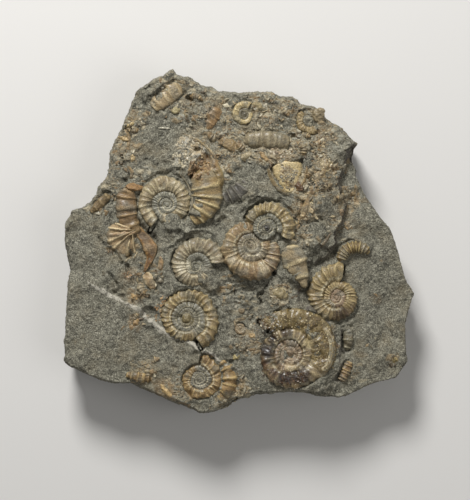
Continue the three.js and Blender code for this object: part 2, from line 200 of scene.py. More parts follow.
def lineDistance(points, line):    # distance in mm from a line of points, its side, and how far along
    best = np.full(len(points), 1e9)
    side = np.ones(len(points))
    place = np.zeros(len(points))
    flat = points[:, :2] / mm
    for i, (a, b) in enumerate(zip(line, line[1:])):
        a, b = np.array(a, float), np.array(b, float)
        ahead = b - a
        t = np.clip(((flat - a) @ ahead) / (ahead @ ahead), 0, 1)
        gap = flat - a - t[:, None] * ahead
        away = np.hypot(gap[:, 0], gap[:, 1])
        closer = away < best
        best = np.where(closer, away, best)
        side = np.where(closer, np.sign(ahead[0] * gap[:, 1] - ahead[1] * gap[:, 0]), side)
        place = np.where(closer, (i + t) / (len(line) - 1), place)
    return best, side, place


# Camera, floor and light

studio = {
    "lookAt": (-1.0, -2.15), "height": 616, "frameLong": 129, "distance": 600,
    "floor": 3000, "floorColour": linear(214, 212, 208),
    "keyFrom": (-130, 430, 370), "keySize": 190, "keyPower": 4.1,
    "fillFrom": (400, -130, 500), "fillSize": 500, "fillPower": 0.85,
    "sky": 0.17,
}


def addLight(name, place, size, power, target):
    bpy.ops.object.light_add(type="AREA", location=Vector(place) * mm)
    lamp = bpy.context.object
    lamp.name = name
    lamp.data.shape = "DISK"
    lamp.data.size = size * mm
    lamp.data.energy = power
    lamp.rotation_euler = (target - lamp.location).to_track_quat("-Z", "Y").to_euler()
    return lamp


def setStudio():
    deselectAll()
    scene = bpy.context.scene
    scene.view_settings.view_transform = "Standard"
    x, y = studio["lookAt"]
    bpy.ops.object.camera_add(location=(x * mm, y * mm, studio["height"] * mm), rotation=(0, 0, 0))
    camera = bpy.context.object
    camera.data.sensor_width = 36
    camera.data.lens = 36 * studio["distance"] / studio["frameLong"]
    camera.data.clip_start = 0.01
    camera.data.clip_end = 20
    scene.camera = camera

    middle = Vector((x * mm, y * mm, 14 * mm))
    addLight("keyLight", studio["keyFrom"], studio["keySize"], studio["keyPower"], middle)
    addLight("fillLight", studio["fillFrom"], studio["fillSize"], studio["fillPower"], middle)
    scene.world = bpy.data.worlds.new("sky")
    scene.world.use_nodes = True
    background = scene.world.node_tree.nodes["Background"]
    background.inputs["Color"].default_value = (1, 1, 1, 1)
    background.inputs["Strength"].default_value = studio["sky"]

    bpy.ops.mesh.primitive_plane_add(size=studio["floor"] * mm, location=(0, 0, 0))
    floor = bpy.context.object
    floor.name = "floor"
    finish = bpy.data.materials.new("paleFloor")
    finish.use_nodes = True
    shader = finish.node_tree.nodes["Principled BSDF"]
    shader.inputs["Base Color"].default_value = (*studio["floorColour"], 1)
    shader.inputs["Roughness"].default_value = 0.9
    floor.data.materials.append(finish)


setStudio()
print("camera, floor and light are in place")


# Materials

def newMaterial(name):
    material = bpy.data.materials.new(name)
    material.use_nodes = True
    tree = material.node_tree
    return material, tree, tree.nodes["Principled BSDF"]


def addNode(tree, kind, inputs, **settings):    # an input is a plain value, a colour or another node's output
    node = tree.nodes.new("ShaderNode" + kind)
    for key, value in settings.items():
        setattr(node, key, value)
    for name, value in inputs.items():
        socket = node.inputs[name]
        if isinstance(value, bpy.types.NodeSocket):
            tree.links.new(value, socket)
        elif socket.type == "RGBA":
            socket.default_value = (*value, 1)
        else:
            socket.default_value = value
    return node


def noiseNode(tree, place, scale, detail=3.0, roughness=0.6, distortion=0.0, output="Fac"):
    inputs = {"Vector": place, "Scale": scale, "Detail": detail}
    inputs.update({"Roughness": roughness, "Distortion": distortion})
    return addNode(tree, "TexNoise", inputs).outputs[output]


def rampNode(tree, source, low, high, start=0.0, end=1.0):
    inputs = {"Value": source, "From Min": low, "From Max": high, "To Min": start, "To Max": end}
    return addNode(tree, "MapRange", inputs, interpolation_type="SMOOTHSTEP").outputs["Result"]


def mathNode(tree, operation, first, second):
    return addNode(tree, "Math", {0: first, 1: second}, operation=operation).outputs["Value"]


def mixNode(tree, share, first, second, blend="MIX"):
    inputs = {"Factor": share, 6: first, 7: second}    # 6, 7 and 2 are the colours among its sockets
    return addNode(tree, "Mix", inputs, data_type="RGBA", blend_type=blend).outputs[2]


def attributeNode(tree, name, output="Fac"):
    return addNode(tree, "Attribute", {}, attribute_name=name).outputs[output]


def bumpNode(tree, height, depth, strength, under=None):
    inputs = {"Distance": depth * mm, "Strength": strength, "Height": height}
    if under is not None:
        inputs["Normal"] = under
    return addNode(tree, "Bump", inputs).outputs["Normal"]


rockLook = {
    "grey": linear(116, 113, 98), "dark": linear(66, 64, 56), "light": linear(176, 172, 154),
    "warm": linear(134, 122, 96), "tan": linear(158, 138, 104), "cream": linear(192, 180, 150),
    # scarp: painted shade for the steep faces of the step down to the right
    "orange": linear(150, 122, 84), "scarp": linear(84, 76, 72), "calcite": linear(198, 192, 176),
    "roughness": 0.86, "specular": 0.35,
    # slivers of shell in it: scale, length, turn and the random value that they show from
    "slivers": [(620, 2.2, 35, 0.974), (1150, 2.6, -50, 1.01), (1700, 1.6, 100, 1.034)],
}
rockNoises = {    # scale, detail, roughness and distortion
    "speckle": (2400, 2.0, 0.6), "grains": (3900, 1.0, 0.5), "grit": (1100, 4.0, 0.72),
    "cloud": (150, 4.0, 0.62), "patch": (620, 5.0, 0.74, 0.5), "flake": (1250, 3.0, 0.66, 0.9),
    "chips": (380, 5.0, 0.7, 0.4), "pits": (520, 3.0, 0.6, 0.3),
}
shellNoises = {"mottle": (800, 4.0, 0.66), "fine": (2300, 2.0, 0.6), "grains": (4000, 1.0, 0.5)}


def addShare(tree, base, mask, amount):    # base plus a share of the mask
    return mathNode(tree, "ADD", base, mathNode(tree, "MULTIPLY", mask, amount))


def layTones(tree, colour, layers):    # each layer: what it follows, from, to, how much and which colour
    for source, low, high, most, tone in layers:
        colour = mixNode(tree, rampNode(tree, source, low, high, 0, most), colour, tone)
    return colour


def layBumps(tree, shader, bumps):    # each bump: what it follows, depth in mm and strength
    bump = None
    for height, depth, strength in bumps:
        bump = bumpNode(tree, height, depth, strength, bump)
    tree.links.new(bump, shader.inputs["Normal"])


def sliverNodes(tree, place, scale, long, turn):    # drawn-out cells: two random values each, and their rims
    bent = noiseNode(tree, place, scale * 0.7, 3.0, 0.5, 0.0, "Color")
    shift = addNode(tree, "VectorMath", {0: bent, 1: (1.1 / scale,) * 3, 2: place}, operation="MULTIPLY_ADD")
    drawn = {"Rotation": (0.3, 0.2, math.radians(turn)), "Scale": (1 / long, 1, 1)}
    mapping = addNode(tree, "Mapping", {"Vector": shift.outputs["Vector"], **drawn})
    cells = addNode(tree, "TexVoronoi", {"Vector": mapping.outputs["Vector"], "Scale": scale})
    parts = addNode(tree, "SeparateColor", {"Color": cells.outputs["Color"]})
    return parts.outputs["Red"], parts.outputs["Green"], cells.outputs["Distance"]


def toneRamp(tree, source, tones):
    ramp = tree.nodes.new("ShaderNodeValToRGB")
    ramp.color_ramp.interpolation = "CONSTANT"
    elements = ramp.color_ramp.elements
    while len(elements) < len(tones):
        elements.new(0.5)
    for i, tone in enumerate(tones):
        elements[i].position = i / len(tones)
        elements[i].color = (*tone, 1)
    tree.links.new(source, ramp.inputs["Fac"])
    return ramp.outputs["Color"]


def rockMaterial():
    material, tree, shader = newMaterial("mudstone")
    place = tree.nodes.new("ShaderNodeTexCoord").outputs["Object"]
    noises = {name: noiseNode(tree, place, *numbers) for name, numbers in rockNoises.items()}
    speckle, grains, grit, patch = (noises[name] for name in ("speckle", "grains", "grit", "patch"))
    dark, light = rockLook["dark"], rockLook["light"]
    colour = layTones(tree, rockLook["grey"], (
        (speckle, 0.5, 0.68, 1, light),
        (grit, 0.52, 0.34, 0.85, dark),
        (noises["cloud"], 0.45, 0.75, 0.6, rockLook["warm"]),
        (noises["pits"], 0.42, 0.33, 0.65, dark),
        (noises["pits"], 0.56, 0.68, 0.35, light),
    ))

    shelly = attributeNode(tree, "shelly")
    level = addShare(tree, patch, shelly, 0.26)
    colour = layTones(tree, colour, ((level, 0.6, 0.8, 0.6, rockLook["tan"]),))
    tones = [rockLook[key] for key in ("tan", "light", "cream", "warm", "tan", "orange", "cream", "dark")]
    rims = None
    for scale, long, turn, start in rockLook["slivers"]:
        pick, choice, rim = sliverNodes(tree, place, scale, long, turn)
        shown = rampNode(tree, addShare(tree, pick, shelly, 0.5), start, start + 0.04)
        inside = mathNode(tree, "MULTIPLY", shown, rampNode(tree, rim, 0.62, 0.42))
        colour = mixNode(tree, mathNode(tree, "MULTIPLY", inside, 0.8), colour, toneRamp(tree, choice, tones))
        raised = mathNode(tree, "MULTIPLY", inside, rampNode(tree, rim, 0.6, 0.1))
        rims = raised if rims is None else mathNode(tree, "MAXIMUM", rims, raised)
    level = addShare(tree, noises["flake"], shelly, 0.16)
    colour = layTones(tree, colour, ((level, 0.66, 0.76, 0.9, rockLook["cream"]),))
    stained = mathNode(tree, "MULTIPLY", attributeNode(tree, "orange"), rampNode(tree, patch, 0.36, 0.6))
    colour = mixNode(tree, stained, colour, rockLook["orange"])
    # painted shade: the steep faces of the step darkened to the scarp colour, broken up by the grit
    shaded = mathNode(tree, "MULTIPLY", attributeNode(tree, "scarp"), rampNode(tree, grit, 0.7, 0.4, 0.3, 1))
    colour = mixNode(tree, shaded, colour, rockLook["scarp"])
    veined = addShare(tree, attributeNode(tree, "vein"), grit, 1.1)
    colour = layTones(tree, colour, (
        (veined, 0.92, 1.5, 0.9, rockLook["calcite"]),
        (grains, 0.54, 0.66, 0.5, light),
        (grains, 0.46, 0.34, 0.5, dark),
    ))
    tree.links.new(colour, shader.inputs["Base Color"])
    shader.inputs["Roughness"].default_value = rockLook["roughness"]
    shader.inputs["Specular IOR Level"].default_value = rockLook["specular"]
    bumps = ((noises["chips"], 1.3, 0.8), (rims, 0.35, 0.8), (grit, 0.5, 0.9), (speckle, 0.2, 0.9))
    layBumps(tree, shader, bumps)
    return material


def shellMaterial(name, roughness, coat):
    material, tree, shader = newMaterial(name)
    place = tree.nodes.new("ShaderNodeTexCoord").outputs["Object"]
    mottle, fine, grains = (noiseNode(tree, place, *numbers) for numbers in shellNoises.values())
    colour = attributeNode(tree, "tone", "Color")
    lighter = mixNode(tree, 1.0, colour, (1.55, 1.56, 1.56), "MULTIPLY")
    darker = mixNode(tree, 1.0, colour, (0.42, 0.44, 0.46), "MULTIPLY")
    colour = layTones(tree, colour, (
        (mottle, 0.5, 0.32, 0.7, darker),
        (fine, 0.54, 0.66, 0.7, lighter),
        (grains, 0.55, 0.66, 0.75, lighter),
        (grains, 0.44, 0.33, 0.6, darker),
    ))
    tree.links.new(colour, shader.inputs["Base Color"])
    dullness = rampNode(tree, mottle, 0.35, 0.65, roughness + 0.15, roughness - 0.12)
    tree.links.new(dullness, shader.inputs["Roughness"])
    shader.inputs["Coat Weight"].default_value = coat
    shader.inputs["Coat Roughness"].default_value = 0.22
    layBumps(tree, shader, ((mottle, 0.4, 0.8), (fine, 0.24, 0.9)))
    return material


mudstone = rockMaterial()
shellFinishes = {
    "cream_shell": shellMaterial("creamShell", 0.54, 0.2),
    "brown_shell": shellMaterial("brownShell", 0.54, 0.22),
    "ochre_shell": shellMaterial("ochreShell", 0.52, 0.22),
    "olive_shell": shellMaterial("oliveShell", 0.46, 0.35),
    "amber_shell": shellMaterial("amberShell", 0.46, 0.3),
}
print("materials are made")


# Whole coils: an even spiral tube that shrinks by "ratio" in each turn back from the mouth.
# "grow" is 1 where the shell grows anticlockwise seen from above, and -1 where it grows clockwise.

greyStone = linear(124, 121, 106)
coils = {
    "ammonite_upper_left": {
        "slot": "cream_shell", "centre": (-18.7, 9.8), "level": 16.25, "lean": (0.02, -0.03), "radius": 9.3,
        "mouth": 235, "grow": 1, "ratio": 2.0, "turns": 4.0, "ribs": 24, "ribHeight": 0.15,
        "crest": (194, 180, 142), "furrow": (124, 104, 74), "inner": (138, 134, 116), "innerFrom": 0.95,
        "trim": 7.1,
    },
    "ammonite_centre": {
        "slot": "brown_shell", "centre": (3.1, -1.0), "level": 16.9, "lean": (-0.07, -0.07), "radius": 9.4,
        "mouth": 305, "grow": 1, "ratio": 2.0, "turns": 3.8, "ribs": 26, "ribHeight": 0.12,
        "crest": (184, 163, 122), "furrow": (120, 94, 62), "inner": (134, 122, 98), "innerFrom": 0.9,
        "lost": {"from": 0.62, "to": 0.82, "depth": 0.9},
    },
    "ammonite_centre_top": {
        "slot": "ochre_shell", "centre": (7.1, 3.6), "level": 17.3, "lean": (-0.06, -0.06), "radius": 7.7,
        "mouth": -25, "grow": -1, "ratio": 1.7, "turns": 4.6, "ribs": 24, "ribHeight": 0.14,
        "crest": (186, 166, 118), "furrow": (108, 88, 54), "inner": (124, 120, 102), "innerFrom": 0.95,
        "lost": {"from": 0.52, "to": 1.0, "depth": 2.2}, "bossTone": (70, 66, 58),
    },
    "ammonite_centre_left": {
        "slot": "cream_shell", "centre": (-11.1, -6.3), "level": 16.2, "lean": (0.03, -0.03), "radius": 8.4,
        "mouth": 12, "grow": -1, "ratio": 2.0, "turns": 3.4, "ribs": 27, "ribHeight": 0.13,
        "crest": (188, 176, 143), "furrow": (110, 91, 65), "inner": (126, 122, 104), "innerFrom": 0.95,
    },
    "ammonite_lower_left": {
        "slot": "ochre_shell", "centre": (-13.5, -19.8), "level": 16.0, "lean": (0, -0.03), "radius": 8.8,
        "mouth": 300, "grow": -1, "ratio": 1.6, "turns": 4.3, "ribs": 26, "ribHeight": 0.15,
        "crest": (186, 166, 118), "furrow": (104, 82, 50), "inner": (132, 126, 106), "innerFrom": 1.0,
        "boss": 1.3, "bossTone": (122, 108, 72),
    },
    "ammonite_bottom": {
        "slot": "ochre_shell", "centre": (-10.2, -35.6), "level": 15.45, "lean": (0, 0.03), "radius": 6.4,
        "mouth": 80, "grow": 1, "ratio": 1.75, "turns": 4.2, "ribs": 22, "ribHeight": 0.14,
        "crest": (182, 156, 106), "furrow": (110, 82, 48), "inner": (134, 128, 110), "innerFrom": 0.95,
    },
    "ammonite_lower_right": {
        "slot": "olive_shell", "centre": (13.1, -29.0), "level": 15.95, "lean": (-0.01, 0.01),
        "radius": 11.9, "mouth": 128, "grow": 1, "ratio": 1.7, "turns": 4.8, "ribs": 22, "ribHeight": 0.12,
        "crest": (188, 168, 126), "furrow": (80, 62, 42), "inner": (144, 124, 98), "innerFrom": 1.6,
        "chamber": {"until": 0.46, "wider": 2.2},
    },
    "ammonite_right": {
        "slot": "ochre_shell", "centre": (25.3, -14.3), "level": 14.2, "lean": (-0.05, 0.02), "radius": 8.8,
        "mouth": 80, "grow": -1, "ratio": 2.0, "turns": 3.9, "ribs": 27, "ribHeight": 0.15,
        "crest": (190, 170, 122), "furrow": (108, 86, 50), "inner": (160, 138, 112), "innerFrom": 1.5,
    },
    "ammonite_top": {
        "slot": "ochre_shell", "centre": (1.4, 32.8), "level": 16.05, "lean": (0, 0), "radius": 3.7,
        "mouth": 60, "grow": -1, "ratio": 1.9, "turns": 3.0, "ribs": 16, "ribHeight": 0.08,
        "crest": (206, 187, 139), "furrow": (172, 150, 102), "inner": (116, 108, 86), "innerFrom": 0.9,
    },
    "ammonite_top_right": {
        "slot": "ochre_shell", "centre": (17.9, 31.4), "level": 16.1, "lean": (-0.03, 0.03), "radius": 4.0,
        "mouth": 307, "grow": 1, "ratio": 2.0, "turns": 3.0, "ribs": 18, "ribHeight": 0.14,
        "crest": (182, 162, 116), "furrow": (116, 94, 60), "inner": (128, 122, 102), "innerFrom": 0.9,
        "lost": {"from": 0.5, "to": 0.98, "depth": 1.0},
    },
    "ammonite_tiny": {
        "slot": "brown_shell", "centre": (0.4, -22.3), "level": 15.8, "lean": (0, 0), "radius": 1.9,
        "mouth": 0, "grow": 1, "ratio": 1.8, "turns": 2.6, "ribs": 14, "ribHeight": 0.07,
        "crest": (176, 154, 120), "furrow": (128, 106, 76), "inner": (150, 132, 104), "innerFrom": 1.2,
    },
}
tube = {    # what holds for every coil
    "around": 22, "perRib": 9, "overlap": 1.12, "squash": 0.62, "wear": 0.36, "wearSize": 0.8, "mud": 0.5,
    "bury": 0.5, "ribs": 0.42, "bent": 0.7, "shade": 0.84,
    # seam: painted shade along the crease where a whorl meets the one inside it
    "line": linear(214, 202, 168), "seam": linear(78, 68, 52),
}
chamberTones = {"olive": linear(122, 104, 62), "dark": linear(80, 64, 42), "pale": linear(184, 166, 124)}
# Darker or paler places on the shells: stains, and one painted highlight on the amber blade at (-23.2, -1.2).
# Each has x, y, reach, colour and strength
stainsAndHighlight = [
    (11.6, -35.2, 2.0, (44, 29, 17), 0.85), (14.4, -35.0, 2.2, (44, 29, 17), 0.85),
    (17.0, -34.4, 1.8, (58, 40, 24), 0.75), (9.2, -33.8, 1.5, (70, 48, 28), 0.7),
    (6.4, -31.4, 2.0, (88, 60, 36), 0.7), (7.2, -28.2, 2.4, (40, 28, 18), 0.9),
    (8.6, -25.2, 1.6, (42, 31, 19), 0.85), (12.0, -23.4, 1.8, (72, 56, 36), 0.7),
    (13.2, -32.4, 1.4, (206, 186, 146), 0.7), (10.4, -38.4, 2.4, (150, 126, 84), 0.6),
    (14.6, -38.9, 2.6, (148, 124, 84), 0.6), (17.8, -26.4, 1.4, (196, 178, 134), 0.6),
    (13.0, -29.4, 3.0, (150, 130, 104), 0.6), (26.4, -19.4, 3.0, (62, 46, 31), 0.85),
    (30.0, -18.2, 2.4, (84, 66, 44), 0.7), (7.4, -35.8, 1.7, (172, 144, 106), 0.6),
    (25.0, -14.2, 2.2, (150, 126, 100), 0.6), (3.6, -1.4, 1.6, (180, 168, 142), 0.5),
    (3.0, -8.6, 2.6, (122, 94, 66), 0.4), (-14.2, -6.6, 2.0, (208, 198, 170), 0.75),
    (-13.3, -20.4, 2.0, (112, 100, 66), 0.8), (-16.0, 14.0, 2.4, (196, 184, 150), 0.4),
    # (-23.2, -1.2) is a painted highlight on the amber blade, the others here are stains
    (-28.8, 12.2, 1.8, (150, 120, 78), 0.4), (-23.2, -1.2, 1.5, (184, 150, 98), 0.4),
    (-26.4, 3.6, 1.8, (140, 116, 76), 0.6), (7.4, 3.4, 1.3, (70, 66, 58), 0.6),
    (6.4, -7.4, 1.6, (206, 194, 164), 0.5), (-1.6, -4.6, 1.6, (202, 192, 166), 0.5),
    (-7.6, 20.6, 2.8, (152, 120, 82), 0.6),
]


def stainAndHighlight(placed, tones, ribs=0):    # the tops of the ribs keep more of their own colour
    noise = 0.6 * (grain(placed, 1.2, 41) - 0.5)
    for x, y, reach, colour, strength in stainsAndHighlight:
        share = strength * ease(1.15, 0.5, gapFrom(placed, x, y) / reach + noise) * (1 - 0.25 * ribs)
        tones = mixed(tones, linear(*colour), share)
    return tones


def buryPatches(piece, depth, seed):    # some places dip under the rock
    points = getPoints(piece)
    dip = ease(0.54, 0.8, grain(points, 2.4, seed)) + 0.5 * ease(0.5, 0.8, grain(points, 1.1, seed + 1))
    points[:, 2] -= depth * mm * dip
    setPoints(piece, points)


def spiralTube(name, spec):    # built round the origin with its mouth on +X, growing anticlockwise
    around, perRib, ratio = tube["around"], tube["perRib"], spec["ratio"]
    outer = spec["radius"] * mm
    half = 0.5 * (1 - 1 / ratio) * tube["overlap"]    # section's radius as a share of the coil's
    steps = spec["ribs"] * perRib
    deselectAll()
    bpy.ops.mesh.primitive_circle_add(vertices=around, radius=half * outer,
                                      location=((1 - half) * outer, 0, 0), rotation=(math.pi / 2, 0, 0))
    piece = bpy.context.object
    piece.name = name
    settle(piece)
    editAll(piece)
    for _ in range(perRib):
        bpy.ops.mesh.extrude_region_move()
        bpy.ops.transform.rotate(value=math.tau / steps, orient_axis="Z", center_override=(0, 0, 0))
        bpy.ops.transform.resize(value=(ratio ** (-1 / steps),) * 3, center_override=(0, 0, 0))
    leaveEdit()

    ribStep = bpy.data.objects.new("ribStep", None)    # one rib further back and a little smaller
    bpy.context.scene.collection.objects.link(ribStep)
    ribStep.rotation_euler = (0, 0, -math.tau / spec["ribs"])
    ribStep.scale = (ratio ** (-1 / spec["ribs"]),) * 3
    bpy.context.view_layer.update()
    addModifier(piece, "ARRAY", use_relative_offset=False, use_object_offset=True, offset_object=ribStep,
                count=round(spec["turns"] * spec["ribs"]), use_merge_vertices=True,
                merge_threshold=0.003 * mm)
    bpy.data.objects.remove(ribStep)
    closeUp(piece)
    return piece, half


def bossReach(spec):
    return spec.get("boss", 1.05 * spec["radius"] * spec["ratio"] ** -spec["turns"])


def addBoss(piece, spec):    # the small dome that closes the middle of the coil
    deselectAll()
    bpy.ops.mesh.primitive_uv_sphere_add(segments=20, ring_count=12, radius=bossReach(spec) * mm)
    boss = bpy.context.object
    editAll(boss)
    bpy.ops.transform.resize(value=(1, 1, 1.05), center_override=(0, 0, 0))
    leaveEdit()
    return joinInto(piece.name, [piece, boss])


def readSpiral(points, spec, half):    # turns back from the mouth, and the angle round the section
    reach = np.hypot(points[:, 0], points[:, 1])
    back = np.mod(-np.arctan2(points[:, 1], points[:, 0]) / math.tau, 1.0)
    turns = np.zeros(len(points))
    angle = np.zeros(len(points))
    best = np.full(len(points), 1e9)
    for whole in range(math.ceil(spec["turns"]) + 1):
        along = back + whole
        outer = spec["radius"] * mm * spec["ratio"] ** -along
        section = half * outer
        offset = reach - (outer - section)
        miss = np.abs(np.hypot(offset, points[:, 2]) - section) / section
        closer = (miss < best) & (along <= spec["turns"] + 0.05)
        best = np.where(closer, miss, best)
        turns = np.where(closer, along, turns)
        angle = np.where(closer, np.arctan2(points[:, 2], offset), angle)
    return turns, angle


def bend(piece, amount, size, seed):    # an even outline made uneven
    points = getPoints(piece)
    shifts = [grain(points, size, seed + axis) - 0.5 for axis in (0, 1)]
    points[:, :2] += np.column_stack(shifts) * amount * mm
    setPoints(piece, points)


def ribProfile(phase):    # narrow crests with wider furrows between them
    return (0.5 + 0.5 * np.cos(math.tau * phase)) ** 2.4


def ribShadow(phase):    # thin darker lines along both feet of a rib
    gap = np.abs((phase + 0.5) % 1 - 0.5)
    return ease(0.1, 0.2, gap) * ease(0.4, 0.26, gap)


def breakCoil(piece, spec, half, turns, size, inChamber):    # the damage, on the coil as it was built
    points = getPoints(piece)
    if "trim" in spec:    # an outer edge that is broken away
        reach = np.hypot(points[:, 0], points[:, 1])
        past = np.maximum(0, reach - spec["trim"] * mm)
        points[:, :2] *= ((reach - 0.85 * past) / reach)[:, None]
        points[:, 2] -= 0.9 * past
    if "chamber" in spec:    # the last part of the whorl is a crushed chamber: wider, flatter and rough
        until = spec["chamber"]["until"]
        reach = np.hypot(points[:, 0], points[:, 1])
        outer = spec["radius"] * mm * size
        out = np.clip((reach - outer * (1 - 2 * half)) / (outer * 2 * half), 0, 1)
        swell = ease(0.03, 0.25, turns) * ease(until + 0.06, until - 0.1, turns)
        points[:, :2] *= (1 + spec["chamber"]["wider"] * mm * swell * out / reach)[:, None]
        rough = 1.1 * (grain(points, 1.3, 51) - 0.5) + 0.9 * (grain(points, 0.6, 52) - 0.5)
        points[:, 2] += inChamber * mm * (rough - 0.3 * np.maximum(points[:, 2] / mm, 0))
    if "lost" in spec:    # a stretch of whorl that is broken away
        lost = spec["lost"]
        gone = ease(lost["from"] - 0.04, lost["from"] + 0.04, turns)
        gone = gone * ease(lost["to"] + 0.02, lost["to"] - 0.04, turns)
        points[:, 2] -= lost["depth"] * mm * gone
    setPoints(piece, points)


def placeCoil(piece, spec):    # turned, flattened, leant and moved, then bent and partly sunk
    lean = spec["lean"]
    tilt = Matrix(((1, 0, 0, 0), (0, 1, 0, 0), (lean[0], lean[1], 1, 0), (0, 0, 0, 1)))
    turned = Matrix.Rotation(math.radians(spec["mouth"]), 4, "Z")
    flipped = Matrix.Diagonal((1, spec["grow"], tube["squash"], 1))
    place = Matrix.Translation(Vector((*spec["centre"], spec["level"])) * mm)
    piece.data.transform(place @ tilt @ turned @ flipped)
    editAll(piece)
    bpy.ops.mesh.normals_make_consistent(inside=False)
    leaveEdit()
    small = min(1, spec["radius"] / 7)    # a small coil is bent and sunk less
    bend(piece, tube["bent"] * small, 2.2, 61)
    placed = getPoints(piece)
    buryPatches(piece, tube["bury"] * small, 43)
    return placed


def buildCoil(name, spec):
    piece, half = spiralTube(name + "_shell", spec)
    piece = addBoss(piece, spec)
    turns, angle = readSpiral(getPoints(piece), spec, half)
    flank = ease(math.radians(165), math.radians(120), np.abs(angle))    # the ribs end at the seam
    forward = 0.35 * ease(math.radians(60), 0, np.abs(angle))    # and bow forward over the outer edge
    uneven = 0.12 * np.sin(turns * 37.0) + 0.08 * np.sin(turns * 61.0 + 1.3)    # their spacing varies
    phase = turns * spec["ribs"] + forward + uneven
    crest = ribProfile(phase) * flank
    strength = 1 - 0.25 * np.abs(np.sin(turns * 23.0))    # and so does their height
    size = spec["ratio"] ** -turns    # the whorl's size there, against its mouth
    inChamber = np.zeros(len(turns))
    if "chamber" in spec:
        inChamber = ease(spec["chamber"]["until"], spec["chamber"]["until"] - 0.07, turns)
        strength = strength * (1 - inChamber)
    addGroup(piece, "ribs", crest * strength * size)
    displace(piece, spec["ribHeight"] * spec["radius"] * mm * tube["ribs"], vertex_group="ribs")
    displace(piece, tube["wear"] * mm, 0.5, texture=newTexture("worn", tube["wearSize"]))
    breakCoil(piece, spec, half, turns, size, inChamber)
    placed = placeCoil(piece, spec)

    ribs = crest * (0.35 + 0.65 * strength)
    pale, dark, grey = (linear(*spec[key]) for key in ("crest", "furrow", "inner"))
    # paler crests and darker furrows: partly worn shell, partly painted highlight on the crests
    tones = mixed(np.tile(dark, (len(placed), 1)), pale, 0.38 + 0.52 * ribs)
    tones = tones * (1 - 0.22 * ribShadow(phase) * flank * strength)[:, None]
    tones = mixed(tones, dark, 0.4 * ease(0.5, 0.7, grain(placed, 2.2, 3)))
    greyed = ease(spec["innerFrom"] - 0.06, spec["innerFrom"] + 0.03, turns)[:, None]    # inner whorls
    # the inner whorls are paler on the crests too, partly painted highlight
    innerTones = mixed(np.tile(grey * 0.74, (len(placed), 1)), grey * 1.35, ribs)
    tones = tones * (1 - greyed) + innerTones * greyed
    tones = stainAndHighlight(placed, tones, ribs)
    across = np.degrees(np.abs(angle))    # 0 at the whorl's outer edge, 180 at its seam
    # painted shade darkening the inner flank into the seam between whorls
    tones = mixed(tones, tube["seam"], 0.4 * ease(140, 165, across))
    thin = ease(108, 118, across) * ease(138, 128, across) * ease(0.3, 0.55, grain(placed, 1.6, 27))
    tones = mixed(tones, tube["line"], 0.7 * thin * (1 - inChamber))
    middle = ease(1.05, 0.8, gapFrom(placed, *spec["centre"]) / bossReach(spec))
    tones = mixed(tones, linear(*spec["bossTone"]) if "bossTone" in spec else grey * 0.85, middle)
    if "chamber" in spec:
        drusy = mixed(np.tile(chamberTones["olive"], (len(placed), 1)), chamberTones["dark"],
                      0.6 * ease(0.52, 0.72, grain(placed, 1.5, 55)))
        drusy = mixed(drusy, chamberTones["pale"], 0.6 * ease(0.64, 0.8, grain(placed, 0.6, 56)))
        tones = tones * (1 - inChamber[:, None]) + drusy * inChamber[:, None]
    section = half * spec["radius"] * size * tube["squash"]
    low = ease(0.35, -0.15, (placed[:, 2] / mm - spec["level"]) / section)    # mud round its foot
    muddy = np.maximum(0.8 * low, ease(0.6, 0.72, grain(placed, 1.9, 23)) * tube["mud"])
    tones = mixed(tones, greyStone, muddy * (1 - 0.8 * inChamber))
    if "chamber" in spec:    # its dark places stay dark where they are muddy
        tones = stainAndHighlight(placed, tones, ribs)
    paint(piece, tones * tube["shade"])

    piece.vertex_groups.clear()
    dress(piece, shellFinishes[spec["slot"]])
    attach(piece, "root")
    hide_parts(name)
    return piece


coilPieces = {name: buildCoil(name, spec) for name, spec in coils.items()}
print("coils are built:", sum(len(p.data.polygons) for p in coilPieces.values()), "faces")


# Lengths of broken whorl and blades of shell: a tube drawn along a path, ribbed or plain

